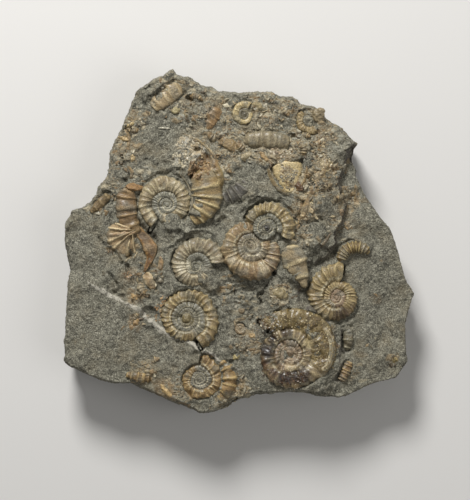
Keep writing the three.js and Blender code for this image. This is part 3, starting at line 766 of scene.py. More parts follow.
stripLook = {    # what holds for every strip that doesn't say otherwise
    "around": 14, "perRib": 10, "leastRings": 22, "wear": 0.4, "wearSize": 1.0, "depth": 1.1, "bury": 0.3,
    "mud": 0.5, "shade": 0.88, "lines": 0.35, "plainFrom": 2,
}
looseLook = {"slot": "cream_shell", "into": "shell_fragments", "level": 16, "rise": 0.9}    # laid on the rock
strips = {
    "whorl_centre_right": {
        "slot": "ochre_shell",
        "path": [(13.4, -1.2), (14.0, -4.0), (15.2, -6.8), (16.4, -9.2), (16.9, -11.8)],
        "widths": [5.0, 6.4, 5.2, 3.2, 1.4], "level": 16.5, "rise": 0.9, "ribs": 2.9, "ribHeight": 0.6,
        "crest": (198, 180, 138), "furrow": (138, 120, 88), "wear": 0.6, "bury": 0.6, "mud": 0.7,
    },
    "whorl_arc_right": {
        "slot": "ochre_shell", "arc": {"centre": (30.4, -5.4), "radii": [4.0], "from": 178, "to": 40},
        "widths": [2.5, 3.1, 3.0, 2.4], "level": 13.9, "rise": 1.3, "ribs": 11, "ribHeight": 0.32,
        "crest": (182, 160, 108), "furrow": (104, 82, 46),
    },
    "whorl_bar_top": {
        "slot": "brown_shell", "path": [(1.3, 26.1), (7.2, 26.4), (13.2, 25.6)], "widths": [3.4, 4.4, 3.6],
        "level": 16.2, "rise": 1.0, "ribs": 7.5, "ribHeight": 0.14, "lines": 0.05, "crest": (154, 141, 111),
        "furrow": (126, 113, 86), "bury": 0.4,
    },
    "whorl_upper_left": {
        "slot": "brown_shell", "path": [(-22.2, 34.6), (-18.6, 37.6), (-14.9, 40.0)],
        "widths": [3.8, 4.9, 3.8], "level": 16.2, "rise": 0.7, "ribs": 4.5, "ribHeight": 0.18,
        "lines": 0.05, "crest": (176, 158, 122), "furrow": (146, 126, 92), "bury": 0.7, "mud": 0.4,
    },
    "whorl_lower_right": {
        "slot": "ochre_shell", "path": [(28.7, -31.2), (27.6, -33.8), (26.4, -36.2)],
        "widths": [1.9, 2.4, 1.9], "level": 13.5, "rise": 0.9, "ribs": 5.5, "ribHeight": 0.3,
        "crest": (178, 152, 106), "furrow": (118, 90, 56),
    },
    "curved_shell_right": {
        "slot": "amber_shell", "path": [(21.0, 15.4), (19.5, 14.4), (18.9, 12.9), (18.4, 10.6)],
        "widths": [0.4, 1.2, 1.4, 0.5], "level": 16.6, "rise": 0.7, "ribs": 0, "hollow": 0.4, "bury": 0.5,
        "crest": (170, 148, 110), "furrow": (122, 100, 70),
    },
    "shell_blade_left": {
        "slot": "amber_shell", "level": 16.4, "rise": 0.9, "ribs": 0, "hollow": 0.45, "bury": 0.3,
        "wear": 0.6,
        "path": [(-26.9, 4.2), (-25.4, 2.2), (-23.8, 0.2), (-22.8, -1.8), (-22.8, -3.8), (-23.5, -5.8),
                 (-24.6, -8.0)],
        "widths": [2.4, 2.6, 3.0, 3.8, 2.4, 1.3, 0.5], "mud": 0.35, "crest": (150, 114, 64),
        "furrow": (110, 78, 40),
    },
    "shell_blade_lower": {
        "slot": "amber_shell", "path": [(-24.2, -8.0), (-23.2, -10.0), (-21.8, -12.4)],
        "widths": [2.2, 2.8, 1.6], "level": 15.7, "rise": 1.0, "ribs": 0, "hollow": 0.2, "bury": 0.3,
        "wear": 0.6, "crest": (208, 188, 148), "furrow": (158, 132, 94),
    },
    "whorl_left_edge": {
        "slot": "brown_shell", "path": [(-38.2, 7.6), (-35.9, 9.8), (-33.4, 12.2)],
        "widths": [1.3, 2.5, 1.8], "level": 15.5, "rise": 0.8, "ribs": 3.5, "ribHeight": 0.12,
        "lines": 0.15, "crest": (146, 126, 88), "furrow": (112, 92, 60),
    },
    "whorl_bottom_edge": {
        "slot": "ochre_shell", "path": [(-29.0, -34.4), (-25.8, -35.0), (-22.6, -35.6)],
        "widths": [1.8, 2.4, 1.9], "level": 15.1, "rise": 0.9, "ribs": 4.5, "ribHeight": 0.28,
        "crest": (172, 146, 98), "furrow": (112, 88, 52),
    },
    "ribs_lower_right": {
        "slot": "brown_shell", "path": [(28.0, -21.8), (28.4, -25.0), (28.0, -28.2)],
        "widths": [1.4, 2.6, 1.6], "level": 13.2, "rise": 0.6, "ribs": 3.5, "ribHeight": 0.26,
        "crest": (140, 132, 106), "furrow": (112, 102, 80), "lines": 0.15, "bury": 0.5, "mud": 0.8,
    },
    "broken_chamber": {
        "slot": "ochre_shell", "path": [(12.3, 20.6), (12.7, 17.2), (13.3, 12.6)],
        "widths": [8.6, 7.2, 1.8], "level": 16.2, "rise": 0.9, "ribs": 0, "hollow": 0.45, "wear": 0.9,
        "bury": 0.2, "crest": (178, 156, 108), "furrow": (204, 184, 138), "mud": 0.05,
    },
    "outer_whorl_right": {
        "slot": "cream_shell", "into": "ammonite_upper_left", "level": 16.4, "rise": 1.8, "ribs": 7.2,
        "arc": {"centre": (-18.7, 9.8), "radii": [8.2, 9.2, 10.5, 11.3, 11.7], "from": -33, "to": 46},
        "widths": [3.8, 5.8, 7.8, 8.2, 7.6], "ribHeight": 0.42, "plainFrom": 0.68, "crest": (210, 190, 140),
        "furrow": (132, 108, 66),
    },
    "outer_whorl_left": {
        "slot": "cream_shell", "into": "ammonite_upper_left", "level": 16.6, "rise": 1.0, "ribs": 5.2,
        "path": [(-28.5, 13.3), (-29.0, 11.2), (-29.0, 8.8), (-28.7, 6.4), (-28.0, 4.0), (-26.8, 1.6)],
        "widths": [4.8, 5.2, 5.4, 5.2, 5.2, 4.4], "ribHeight": 0.36, "bury": 0.7, "wear": 0.7,
        "crest": (152, 126, 86), "furrow": (112, 88, 56),
    },
    "centre_whorl_end": {
        "slot": "brown_shell", "into": "ammonite_centre", "level": 16.6, "rise": 1.5, "ribs": 5,
        "arc": {"centre": (3.1, -1.0), "radii": [7.1, 6.3, 5.6], "from": 302, "to": 366},
        "widths": [4.4, 3.8, 2.6], "ribHeight": 0.34, "crest": (190, 168, 130), "furrow": (124, 98, 68),
    },
    "grey_whorl": {
        **looseLook, "ribs": 4,
        "ribHeight": 0.6, "path": [(-3.6, 11.2), (-1.7, 12.1), (0.1, 13.5), (1.5, 15.4)], "lines": 0.5,
        "widths": [3.4, 4.6, 4.2, 2.6], "proud": 0.5, "bury": 0.3, "wear": 0.3, "mud": 0.2,
        "crest": (126, 120, 106), "furrow": (78, 72, 64),
    },
    "top_lens": {
        **looseLook, "ribs": 3.5,
        "ribHeight": 0.14, "path": [(-8.2, 29.1), (-6.7, 31.9), (-5.1, 34.5)], "lines": 0.1,
        "widths": [2.2, 3.3, 2.6], "proud": 0.6, "bury": 0.4, "wear": 0.5, "mud": 0.4,
        "crest": (160, 130, 90), "furrow": (136, 108, 70),
    },
    "crushed_fan": {
        **looseLook, "ribs": 5.5,
        "ribHeight": 0.5,
        "arc": {"centre": (-25.6, 3.9), "radii": [4.6, 5.2, 5.2, 4.2], "from": 176, "to": 258},
        "widths": [5.6, 7.8, 7.4, 4.8], "proud": 0.7, "bury": 0.6, "wear": 0.6, "crest": (220, 198, 154),
        "furrow": (164, 138, 102),
    },
    "outer_ribs_bottom": {
        **looseLook, "ribs": 5,
        "ribHeight": 0.4,
        "arc": {"centre": (-10.3, -35.6), "radii": [7.2, 7.9, 7.9, 7.4], "from": -44, "to": 38},
        "widths": [2.4, 3.8, 3.6, 2.4], "proud": 0.5, "bury": 0.5, "wear": 0.45, "crest": (194, 168, 116),
        "furrow": (144, 114, 70),
    },
}
# Ribs of a crushed fan, thin shell walls and loose lenses, each draped over the rock:
# line, width, how far it stands out, pale and dark colour
slivers = [
    ([(-26.4, 2.4), (-30.0, 2.0), (-33.7, 1.7)], 1.3, 0.85, (214, 194, 156), (166, 136, 100)),
    ([(-27.6, -3.3), (-28.6, -4.4), (-29.4, -5.4)], 0.6, 0.4, (204, 192, 160), (168, 150, 116)),
    ([(-26.0, -2.5), (-26.6, -3.5), (-27.0, -4.3)], 0.55, 0.4, (208, 196, 164), (170, 152, 118)),
    ([(-20.3, -3.7), (-20.1, -5.4), (-20.4, -7.4)], 1.4, 0.6, (200, 174, 130), (168, 134, 92)),
    ([(-14.6, 28.0), (-10.2, 25.9), (-7.0, 22.8), (-5.0, 19.6)], 0.8, 0.4, (190, 174, 136), (150, 130, 94)),
    ([(-20.9, 29.3), (-17.8, 29.25)], 0.4, 0.3, (228, 224, 206), (214, 206, 182)),
    ([(21.4, -21.6), (23.2, -24.0), (24.0, -26.8), (23.9, -29.5), (22.9, -32.0), (21.2, -33.2)], 1.7, 0.6,
     (206, 194, 164), (160, 144, 110)),
    ([(22.8, 21.6), (21.5, 18.2), (19.6, 15.2)], 2.6, 0.45, (190, 170, 130), (160, 136, 98)),
    ([(18.6, 13.4), (17.4, 9.4), (16.2, 5.4)], 1.8, 0.45, (186, 166, 126), (150, 126, 90)),
    ([(30.1, 15.0), (30.4, 12.8), (30.2, 10.6)], 1.0, 0.4, (172, 150, 108), (132, 108, 72)),
    ([(24.4, 3.2), (22.6, 0.4), (21.0, -1.6)], 0.8, 0.35, (146, 132, 104), (108, 94, 72)),
    ([(-29.6, 29.4), (-28.4, 27.0), (-28.6, 24.4)], 1.1, 0.45, (180, 162, 124), (140, 120, 88)),
    ([(-28.8, 19.6), (-27.6, 18.0), (-28.0, 16.2)], 1.0, 0.4, (186, 166, 128), (142, 120, 86)),
    ([(-13.4, 19.8), (-15.4, 17.7), (-13.4, 15.1), (-12.0, 10.7), (-12.9, 7.7), (-14.2, 4.8)], 0.45, 0.28,
     (204, 194, 168), (160, 148, 120)),
    ([(-4.5, 14.2), (-4.9, 17.2), (-6.8, 20.2), (-9.8, 22.6)], 2.2, 0.9, (162, 142, 96), (124, 104, 64)),
    ([(7.4, 19.0), (8.4, 16.2), (10.2, 13.6), (13.2, 11.8)], 1.1, 0.6, (158, 140, 100), (120, 102, 68)),
    ([(17.2, 20.4), (17.5, 18.0), (16.6, 15.2), (14.0, 12.2)], 0.8, 0.35, (176, 156, 114), (136, 114, 78)),
    ([(10.8, -6.2), (14.0, -6.4), (16.2, -7.8), (18.0, -9.2)], 0.45, 0.25, (206, 194, 162), (170, 150, 114)),
    ([(11.8, -3.1), (14.2, -3.2), (16.6, -3.7)], 0.9, 0.3, (204, 188, 148), (164, 144, 106)),
    ([(3.0, 35.6), (5.2, 35.2), (5.8, 33.6)], 1.6, 0.4, (176, 162, 124), (150, 134, 98)),
]
for i, (line, width, proud, pale, dark) in enumerate(slivers):
    strips[f"sliver_{i}"] = {
        **looseLook, "path": line, "widths": [width * 0.6, width, width * 0.8],
        "rise": 0.5 + 0.2 * width, "ribs": 0, "bury": 0.1, "wear": 0.3, "proud": proud,
        "crest": pale, "furrow": dark,
    }


def smoothLine(points, count):    # even steps along a smooth line through a few points
    points = np.asarray(points, float)
    if len(points) == 1:
        return np.repeat(points, count, axis=0)
    ends = np.vstack([2 * points[0] - points[1], points, 2 * points[-1] - points[-2]])
    places = np.linspace(0, len(points) - 1, count)
    line = []
    for place in places:
        i = min(int(place), len(points) - 2)
        t = place - i
        a, b, c, d = ends[i:i + 4]
        line.append(0.5 * (2 * b + (c - a) * t + (2 * a - 5 * b + 4 * c - d) * t ** 2
                           + (3 * b - a - 3 * c + d) * t ** 3))
    return np.array(line)


def stripPath(spec, count):
    if "arc" not in spec:
        return smoothLine(spec["path"], count)
    arc = spec["arc"]
    radii = smoothLine([[r] for r in arc["radii"]], count)[:, 0]
    bearings = np.radians(np.linspace(arc["from"], arc["to"], count))
    return np.column_stack([arc["centre"][0] + radii * np.cos(bearings),
                            arc["centre"][1] + radii * np.sin(bearings)])


def drawTube(name, spec, rings):    # a ring is extruded, moved, turned and sized from station to station
    path = stripPath(spec, rings)
    along = np.linspace(0, 1, rings)
    halves = smoothLine([[w] for w in spec["widths"]], rings)[:, 0] / 2
    halves = halves * np.maximum(0.3, (1 - np.abs(2 * along - 1) ** 9) ** 0.5)
    ahead = np.gradient(path, axis=0)
    headings = np.unwrap(np.arctan2(ahead[:, 1], ahead[:, 0]))
    level = spec["level"] * mm
    start = Vector((*(path[0] * mm), level))
    deselectAll()
    bpy.ops.mesh.primitive_circle_add(vertices=stripLook["around"], radius=halves[0] * mm, location=start,
                                      rotation=(math.pi / 2, 0, headings[0] + math.pi / 2))
    piece = bpy.context.object
    piece.name = name
    settle(piece)
    editAll(piece)
    for i in range(1, rings):
        step = Vector((*((path[i] - path[i - 1]) * mm), 0))
        here = Vector((*(path[i] * mm), level))
        bpy.ops.mesh.extrude_region_move(TRANSFORM_OT_translate={"value": step})
        bpy.ops.transform.rotate(value=headings[i - 1] - headings[i], orient_axis="Z", center_override=here)
        bpy.ops.transform.resize(value=(halves[i] / halves[i - 1],) * 3, center_override=here)
    leaveEdit()
    closeUp(piece, 0.001)
    return piece, halves


def buildStrip(name, spec):
    look = {**stripLook, **spec}
    rings = max(look["leastRings"], round(spec["ribs"] * look["perRib"]))
    piece, halves = drawTube(name + "_shell", spec, rings)
    points = getPoints(piece)
    ring = np.arange(len(points)) // look["around"]
    along = ring / (rings - 1)
    up = (points[:, 2] - spec["level"] * mm) / (halves[ring] * mm)
    widest = halves.max() * mm
    tall = np.where(up > 0, spec["rise"] * mm / widest, look["depth"] * mm / widest)
    points[:, 2] = spec["level"] * mm + (points[:, 2] - spec["level"] * mm) * tall
    setPoints(piece, points)

    uneven = 0.15 * np.sin(along * 17.0 + len(name))
    fading = ease(look["plainFrom"] + 0.1, look["plainFrom"], along)
    crest = ribProfile(along * spec["ribs"] + uneven) if spec["ribs"] else np.zeros(len(points))
    crest = crest * ease(-0.1, 0.35, up) * fading    # only on the upper side
    if spec["ribs"]:
        addGroup(piece, "ribs", crest)
        displace(piece, spec["ribHeight"] * mm, vertex_group="ribs")
    if "hollow" in spec:
        addGroup(piece, "middle", ease(0.75, 1.0, up) * ease(0, 0.2, along) * ease(1, 0.8, along))
        displace(piece, -spec["hollow"] * mm, vertex_group="middle", direction="Z")
    displace(piece, look["wear"] * mm, 0.5, texture=newTexture("worn", look["wearSize"]))

    placed = getPoints(piece)
    buryPatches(piece, look["bury"], 47)
    pale, dark = linear(*spec["crest"]), linear(*spec["furrow"])
    # paler crests on ribbed strips: partly worn shell, partly painted highlight
    share = 0.15 + 0.85 * crest if spec["ribs"] else ease(0.95, 0.55, up)    # plain: furrow's tone on top
    tones = mixed(np.tile(dark, (len(placed), 1)), pale, share)
    if spec["ribs"]:
        # lines: the strength of the painted shadow along the feet of the ribs
        lines = look["lines"] * fading
        tones = tones * (1 - lines * ribShadow(along * spec["ribs"] + uneven))[:, None]
    tones = mixed(tones, dark, 0.5 * ease(0.5, 0.75, grain(placed, 1.6, 5)))
    muddy = np.maximum(0.75 * ease(0.45, 0.05, up), look["mud"] * ease(0.58, 0.72, grain(placed, 1.7, 29)))
    tones = mixed(stainAndHighlight(placed, tones), greyStone, muddy)
    paint(piece, tones * look["shade"])
    piece.vertex_groups.clear()
    dress(piece, shellFinishes[spec["slot"]])
    return piece


loosePieces = []
stripPieces = {}
for name, spec in strips.items():
    strip = buildStrip(name, spec)
    if spec.get("into") == "shell_fragments":
        loosePieces.append((strip, spec))
        continue
    stripPieces[name] = strip
    if "into" in spec:
        coilPieces[spec["into"]] = joinInto(spec["into"] + "_shell", [coilPieces[spec["into"]], strip])
        continue
    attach(strip, "root")
    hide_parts(name)
print("lengths of whorl and blades are built")


# The rock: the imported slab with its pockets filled, remeshed fine and broken up

rock = {
    "fill": 0.95, "sink": 1.35, "uneven": 0.9, "voxel": 0.36, "mostTriangles": 190000,
    # lines seen from above: the step down to the right, and where the smooth left shelf begins
    "scarpLine": [(29.2, 23.2), (27.4, 19.6), (26.2, 16), (27, 9.5), (26.6, 4.8), (24.8, 0.4), (22.3, -3.8),
                  (18, -6.6), (16.5, -11.4), (17.5, -18), (24.8, -21.5), (26, -28), (25.8, -35)],
    "scarp": {"lip": 0.5, "foot": 1.3},
    "leftLine": [(-15, -48), (-17, -38), (-20, -30), (-24, -24), (-27, -18), (-31, -12), (-30, -6),
                 (-32, 0), (-34, 6), (-38, 9), (-50, 9.5)],
    "facets": {"size": 3.4, "height": 1.3}, "lumps": {"size": 1.5, "height": 1.1},
    "crumbs": {"size": 0.7, "height": 0.5},
    "sides": {"beds": 0.8, "bedThick": 1.3, "chunks": 1.5, "chunkSize": 4.5, "under": 0.9},
}

# Rims of rock that stand up beside a shell: centre, from and to which bearing, radius, height and width
lips = [
    ((-18.7, 9.8), 58, 122, 8.3, 0.9, 0.7), ((-11.1, -6.3), 60, 150, 8.5, 0.75, 0.6),
    ((-13.5, -19.8), 55, 130, 8.3, 0.6, 0.6), ((7.2, 3.8), 60, 150, 8.0, 0.5, 0.6),
    ((30.4, -5.4), 80, 185, 6.2, 0.6, 0.6), ((13.1, -29.0), 60, 118, 12.0, 0.5, 0.6),
    ((-10.2, -35.6), 60, 120, 7.2, 0.4, 0.6),
]
# Rock that still covers part of a shell: x, y, reach and how high it comes
covers = [
    (-17.2, 5.0, 2.6, 17.3), (-22.4, 3.6, 1.7, 17.0), (-9.4, -26.8, 1.6, 16.2), (-13.6, 3.6, 1.8, 17.3),
    (-24.6, 6.4, 1.3, 17.2), (-24.2, 11.6, 1.0, 17.2), (-8.4, -8.9, 2.7, 17.2), (-6.6, -11.2, 2.0, 16.9),
    (-1.5, -8.6, 1.6, 16.6), (12.4, -8.2, 2.2, 17.0), (4.2, -23.4, 2.4, 16.5), (6.8, -20.6, 2.8, 17.0),
    (18.4, -18.4, 1.6, 16.6), (-19.6, -13.6, 1.6, 16.6),
]
# Small holes and cracks: a line of points, how wide and how deep
cracks = [
    ([(-12.9, 36.9), (-12.4, 36.6)], 0.62, 2.0),
    ([(13.7, 27.0), (14.3, 27.0)], 0.4, 1.0),
    ([(7.1, -11.6), (5.8, -13.4), (5.2, -14.4), (5.7, -15.7)], 0.13, 1.4),
    ([(2.1, -27.4), (0.9, -28.8), (0.3, -30.5)], 0.2, 0.7),
    ([(19.0, 12.6), (22.2, 13.2), (26.3, 14.3)], 0.22, 0.8),
    ([(-30.2, 30.6), (-28.8, 29.2), (-28.1, 27.0)], 0.22, 0.7),
    ([(-3.9, 9.2), (-1.0, 9.6), (2.0, 11.2), (5.4, 12.3)], 0.25, 0.6),
    ([(15.6, 11.0), (16.4, 8.2), (15.6, 6.2), (15.9, 3.4)], 0.3, 0.9),
    ([(16.0, 4.2), (19.0, 5.0), (21.4, 5.6)], 0.22, 0.7),
    ([(12.0, -9.6), (14.4, -11.6), (15.9, -12.4)], 0.4, 0.4),
    ([(-11.0, 16.6), (-9.4, 18.8), (-8.8, 20.4)], 1.7, 1.2),
    ([(-15.0, 16.7), (-17.3, 17.5), (-19.8, 17.5), (-22.4, 16.7)], 0.4, 0.6),
    ([(-32.0, -13.5), (-30.4, -14.6)], 0.9, 0.8),
    ([(-23.6, -18.0), (-22.4, -19.0)], 1.0, 0.9),
    ([(-4.4, -42.9), (-2.6, -42.3), (-1.0, -41.0)], 0.6, 1.0),
    ([(-36.0, 0.6), (-33.4, -1.6), (-31.2, -4.4), (-29.2, -6.2), (-28.6, -8.4)], 0.3, 0.8),
    ([(-4.4, -14.0), (0.3, -12.0), (4.4, -12.5)], 0.25, 0.7),
    ([(-6.2, -17.6), (-1.8, -15.8), (1.8, -16.6)], 0.3, 0.6),
    ([(-34.0, -7.8), (-31.4, -10.6), (-30.6, -12.6)], 0.3, 0.7),
    ([(-3.6, 6.0), (-6.4, 4.6), (-8.8, 4.8), (-11.0, 3.6)], 0.3, 0.7),
    ([(-24.2, 21.0), (-21.8, 19.6), (-20.2, 20.4)], 0.25, 0.5),
]
vein = {
    "line": [(-38.9, -10.4), (-37.6, -11.4), (-35.1, -12.7), (-33.2, -14.0), (-30.7, -15.1), (-28.1, -16.6),
             (-25.5, -17.6), (-23.7, -19.7), (-21.6, -21.5), (-19.8, -23.1), (-15.2, -24.9), (-11.8, -26.2),
             (-10.0, -28.0), (-6.9, -28.7), (-5.4, -30.5), (-2.8, -32.1), (0.3, -33.1)],
    "width": 1.1, "rise": 0.25,
}
# Patches in the rock: x, y, reach and strength. A plain patch has no shell in it.
patches = {
    "shelly": [
        (-27, 30, 5, 0.6), (-31, 22, 5, 0.5), (-33, 14, 4, 0.4), (-26, 17, 4, 0.4), (-16, 38, 7, 0.6),
        (-4, 36, 8, 0.55), (6, 34, 8, 0.65), (16, 33, 8, 0.7), (24, 28, 7, 0.7), (28, 24, 4, 0.6),
        (-8, 29, 6, 0.6), (0, 25, 6, 0.7), (-6, 20, 5, 0.6), (10, 22, 7, 0.9), (18, 22, 7, 0.8),
        (14, 16, 5, 1), (24, 20, 5, 0.7), (18, 9, 5, 0.8), (23, 13, 5, 0.6), (17, 2, 4, 0.5),
        (28, 11, 4, 0.7), (25, 4, 4, 0.4), (-2, -40, 6, 0.7), (-16, -39, 5, 0.7), (-25, -34, 4, 0.6),
        (10.9, -13.4, 3.4, 0.8), (-1, -12, 5, 0.3), (0, -17, 5, 0.3), (3, -26, 4, 0.45), (-27, -14, 3, 0.4),
        (-24, -10, 5, 0.4), (-27, -20, 3, 0.4), (-30, 0, 5, 0.4), (22, -23, 3, 0.5), (29, -33, 3, 0.4),
        (40.5, -31, 2, 0.6), (-37, 9, 3, 0.6),
    ],
    "orange": [
        (-6.5, 33.8, 2.4, 0.6), (-27.5, 24, 4, 0.2), (18, 17, 3, 0.25), (22.5, 19.5, 3.6, 0.25),
        (17.5, 8, 2.6, 0.25), (26, 8, 4, 0.2), (29.8, 11.4, 2.0, 0.5), (-26.6, -14.2, 2.4, 0.5),
        (-26.6, -20.8, 2.2, 0.5), (-19, -38, 3.4, 0.6), (-24.5, -35, 2.4, 0.7), (-28.6, -8.6, 2.4, 0.5),
        (-9.7, 19, 3.6, 0.9), (-6.5, 16, 3, 0.5), (21, 27, 3, 0.4), (35.7, -15, 1.6, 0.35),
        (11, 20, 3.4, 0.5), (3, -26, 3, 0.3),
    ],
    "pale": [
        (-13.2, 24.0, 3.6, 0.85), (-15.2, 21.2, 2.6, 0.8), (-9.6, 22.8, 2.2, 0.9), (-16.4, 18.2, 1.4, 0.6),
        (12.6, 17.2, 2.6, 0.55), (9.6, 21.6, 2.2, 0.45), (21.4, 18.6, 1.8, 0.35), (17.4, 10.0, 1.4, 0.35),
        (-9.0, -30.4, 1.2, 0.4),
    ],
    "plain": [
        (-19.5, 26.5, 6.5, 1), (4, 16, 4.6, 1), (-5, 8, 4, 0.7), (17.0, 20.4, 1.9, 0.9),
        (26.4, 23.4, 4.2, 0.8), (21.9, 9.4, 3.2, 0.8), (25.6, 16.2, 2.4, 0.6), (9.4, 14.4, 2.2, 0.8),
        (11.0, 30.4, 2.6, 0.6), (-22.6, 21.4, 3.0, 0.6), (-1.0, 37.6, 2.6, 0.5), (20.8, 3.6, 3.0, 0.7),
    ],
}


def patchShares(points):    # how much of each kind of patch there is at each place
    noise = 0.5 * (grain(points, 1.8, 17) - 0.5) + 0.3 * (grain(points, 0.9, 37) - 0.5)
    shares = {}
    for kind, circles in patches.items():
        shares[kind] = np.full(len(points), 0.03 if kind == "shelly" else 0.0)
        for x, y, reach, strength in circles:
            gap = gapFrom(points, x, y) / reach
            shares[kind] = np.maximum(shares[kind], strength * ease(1.2, 0.6, gap + noise))
    for kind in ("shelly", "orange"):
        shares[kind] = shares[kind] * (1 - shares["plain"])
    return shares


def rockBlank():
    parts = []
    for name, node in nodes.items():
        part = bpy.data.objects.new("fill_" + name, node.data.copy())
        bpy.context.scene.collection.objects.link(part)
        editAll(part)
        bpy.ops.mesh.remove_doubles(threshold=0.002 * mm)
        leaveEdit()
        part.data.materials.clear()
        if name != "matrix_slab":
            displace(part, rock["fill"] * mm)
            editAll(part)
            bpy.ops.mesh.subdivide(number_cuts=2)
            leaveEdit()
            displace(part, rock["uneven"] * mm, 0.45, texture=newTexture("uneven", 1.8))
            part.location.z = -rock["sink"] * mm
            settle(part)
        parts.append(part)
    parts.sort(key=lambda part: part.name != "fill_matrix_slab")
    blank = joinInto("mudstone_slab", parts)
    addModifier(blank, "REMESH", mode="VOXEL", voxel_size=rock["voxel"] * mm)
    points = getPoints(blank)    # the underside and sides carry coarser faces than the top
    hidden = ease(10.5, 9, points[:, 2] / mm) * 0.3 + ease(1.0, 0.4, points[:, 2] / mm) * 0.7
    addGroup(blank, "coarse", hidden)
    addModifier(blank, "DECIMATE", ratio=rock["mostTriangles"] / 2 / len(blank.data.polygons),
                vertex_group="coarse", vertex_group_factor=10)
    blank.vertex_groups.clear()
    return blank


def shaken(points, amount, sizes, seeds):    # the same points, each moved a little sideways
    moved = points.copy()
    for axis in (0, 1):
        moved[:, axis] += (grain(points, sizes[axis], seeds[axis]) - 0.5) * amount * mm
    return moved


def shapeTop(piece):    # rims, covers, holes and the vein, worked into the upper face
    points = getPoints(piece)
    upper = ease(0.0, 0.35, getNormals(piece)[:, 2]) * ease(9, 11, points[:, 2] / mm)
    for x, y, reach, top in covers:
        away = gapFrom(points, x, y) / reach + 0.35 * (grain(points, 1.4, 11) - 0.5)
        points[:, 2] += np.maximum(0, top * mm - points[:, 2]) * ease(1.15, 0.7, away) * upper
    for centre, first, last, radius, rise, width in lips:
        offset = points[:, :2] / mm - centre
        bearing = np.degrees(np.arctan2(offset[:, 1], offset[:, 0]))
        inside = ease(first - 9, first + 9, bearing) * ease(last + 9, last - 9, bearing)
        past = np.hypot(offset[:, 0], offset[:, 1]) - radius - 1.9 * (grain(points, 2.4, 7) - 0.5)
        past -= 0.8 * (grain(points, 0.9, 8) - 0.5)
        shape = ease(-0.35, 0.15, past) * ease(3.2 * width, 0.5 * width, past)
        shape *= 0.25 + 1.1 * ease(0.3, 0.7, grain(points, 3.3, 9))
        points[:, 2] += rise * mm * inside * shape * upper
    wavy = shaken(points, 1.3, (1.7, 1.5), (81, 83))
    for line, width, depth in cracks:
        away = lineDistance(wavy, line)[0] + min(0.5, width) * (grain(points, 0.8, 13) - 0.5)
        points[:, 2] -= depth * mm * ease(width * 1.5, width * 0.6, away) * upper
    away, _, _ = lineDistance(points, vein["line"])
    points[:, 2] += vein["rise"] * mm * ease(vein["width"], 0, away) * upper

    wavy = shaken(points, 3.0, (3.1, 2.7), (29, 31))    # the step down to the right, sharpened
    away, side, along = lineDistance(wavy, rock["scarpLine"])
    past = away * side
    shape = rock["scarp"]["lip"] * ease(-2.6, -0.5, past) * ease(0.1, -0.3, past)
    shape -= rock["scarp"]["foot"] * ease(-0.1, 0.5, past) * ease(4.2, 1.0, past)
    clear = np.ones(len(points))
    for spec in coils.values():
        gap = gapFrom(points, *spec["centre"])
        clear = np.minimum(clear, ease(spec["radius"] - 0.5, spec["radius"] + 2.0, gap))
    points[:, 2] += shape * mm * clear * upper * ease(0.98, 0.9, along)
    setPoints(piece, points)


def bedSides(piece):    # thin beds and broken chunks down the sides, and an uneven underside
    points, normals = getPoints(piece), getNormals(piece)
    high = points[:, 2] / mm
    look = rock["sides"]
    beds = grain(points * (0.15, 0.15, 1), look["bedThick"], 71)
    chunks = grain(points * (0.7, 0.7, 1), look["chunkSize"], 73)
    inward = look["beds"] * ease(0.35, 0.6, beds) + look["chunks"] * ease(0.3, 0.8, chunks)
    sides = ease(0.8, 0.4, np.abs(normals[:, 2])) * ease(-0.5, 2.0, high) * ease(11.5, 8.0, high)
    points[:, :2] -= normals[:, :2] * (inward * sides)[:, None] * mm
    under = ease(-0.5, -0.9, normals[:, 2]) * ease(2, 0.5, high)
    points[:, 2] += under * look["under"] * mm * ease(0.35, 0.75, grain(points, 5.5, 75))
    setPoints(piece, points)


def breakUp(piece):
    points = getPoints(piece)
    normals = getNormals(piece)
    away, side, _ = lineDistance(points, rock["scarpLine"])
    rightShelf = ease(-0.5, 1.5, away * side)
    away, side, _ = lineDistance(points, rock["leftLine"])
    leftShelf = ease(-2, 2, away * side)
    smooth = np.maximum(rightShelf, 0.85 * leftShelf)    # both shelves are smoother than the middle
    underside = ease(2.5, 1.0, points[:, 2] / mm) * ease(-0.3, -0.8, normals[:, 2])
    near = np.zeros(len(points))
    for spec in coils.values():
        gap = gapFrom(points, *spec["centre"])
        near = np.maximum(near, ease(spec["radius"] + 0.6, spec["radius"] * 0.85, gap))
    shares = patchShares(points)
    # how much each place is broken up: less on the shelves, near the coils and underneath
    rough = (1 - 0.78 * smooth) * (1 - 0.75 * near) * (1 - 0.7 * underside)
    rough = rough * (1 - 0.4 * shares["plain"]) * (1 - 0.4 * shares["shelly"])
    fine = (1 - 0.3 * smooth) * (1 - 0.5 * near) * (1 - 0.5 * underside)
    addGroup(piece, "rough", rough)
    addGroup(piece, "fine", fine)

    for name, group, middle, kind, settings in (
        ("facets", "rough", 0.35, "VORONOI", {"weight_1": -1, "weight_2": 1}),
        ("lumps", "rough", 0.5, "CLOUDS", {"noise_depth": 3}),
        ("crumbs", "fine", 0.4, "CLOUDS", {"noise_type": "HARD_NOISE"}),
    ):
        texture = newTexture(name, rock[name]["size"], kind, **settings)
        displace(piece, rock[name]["height"] * mm, middle, texture=texture, vertex_group=group)
    points = getPoints(piece)
    points[:, 2] = np.maximum(points[:, 2], 0)
    setPoints(piece, points)
    piece.vertex_groups.clear()


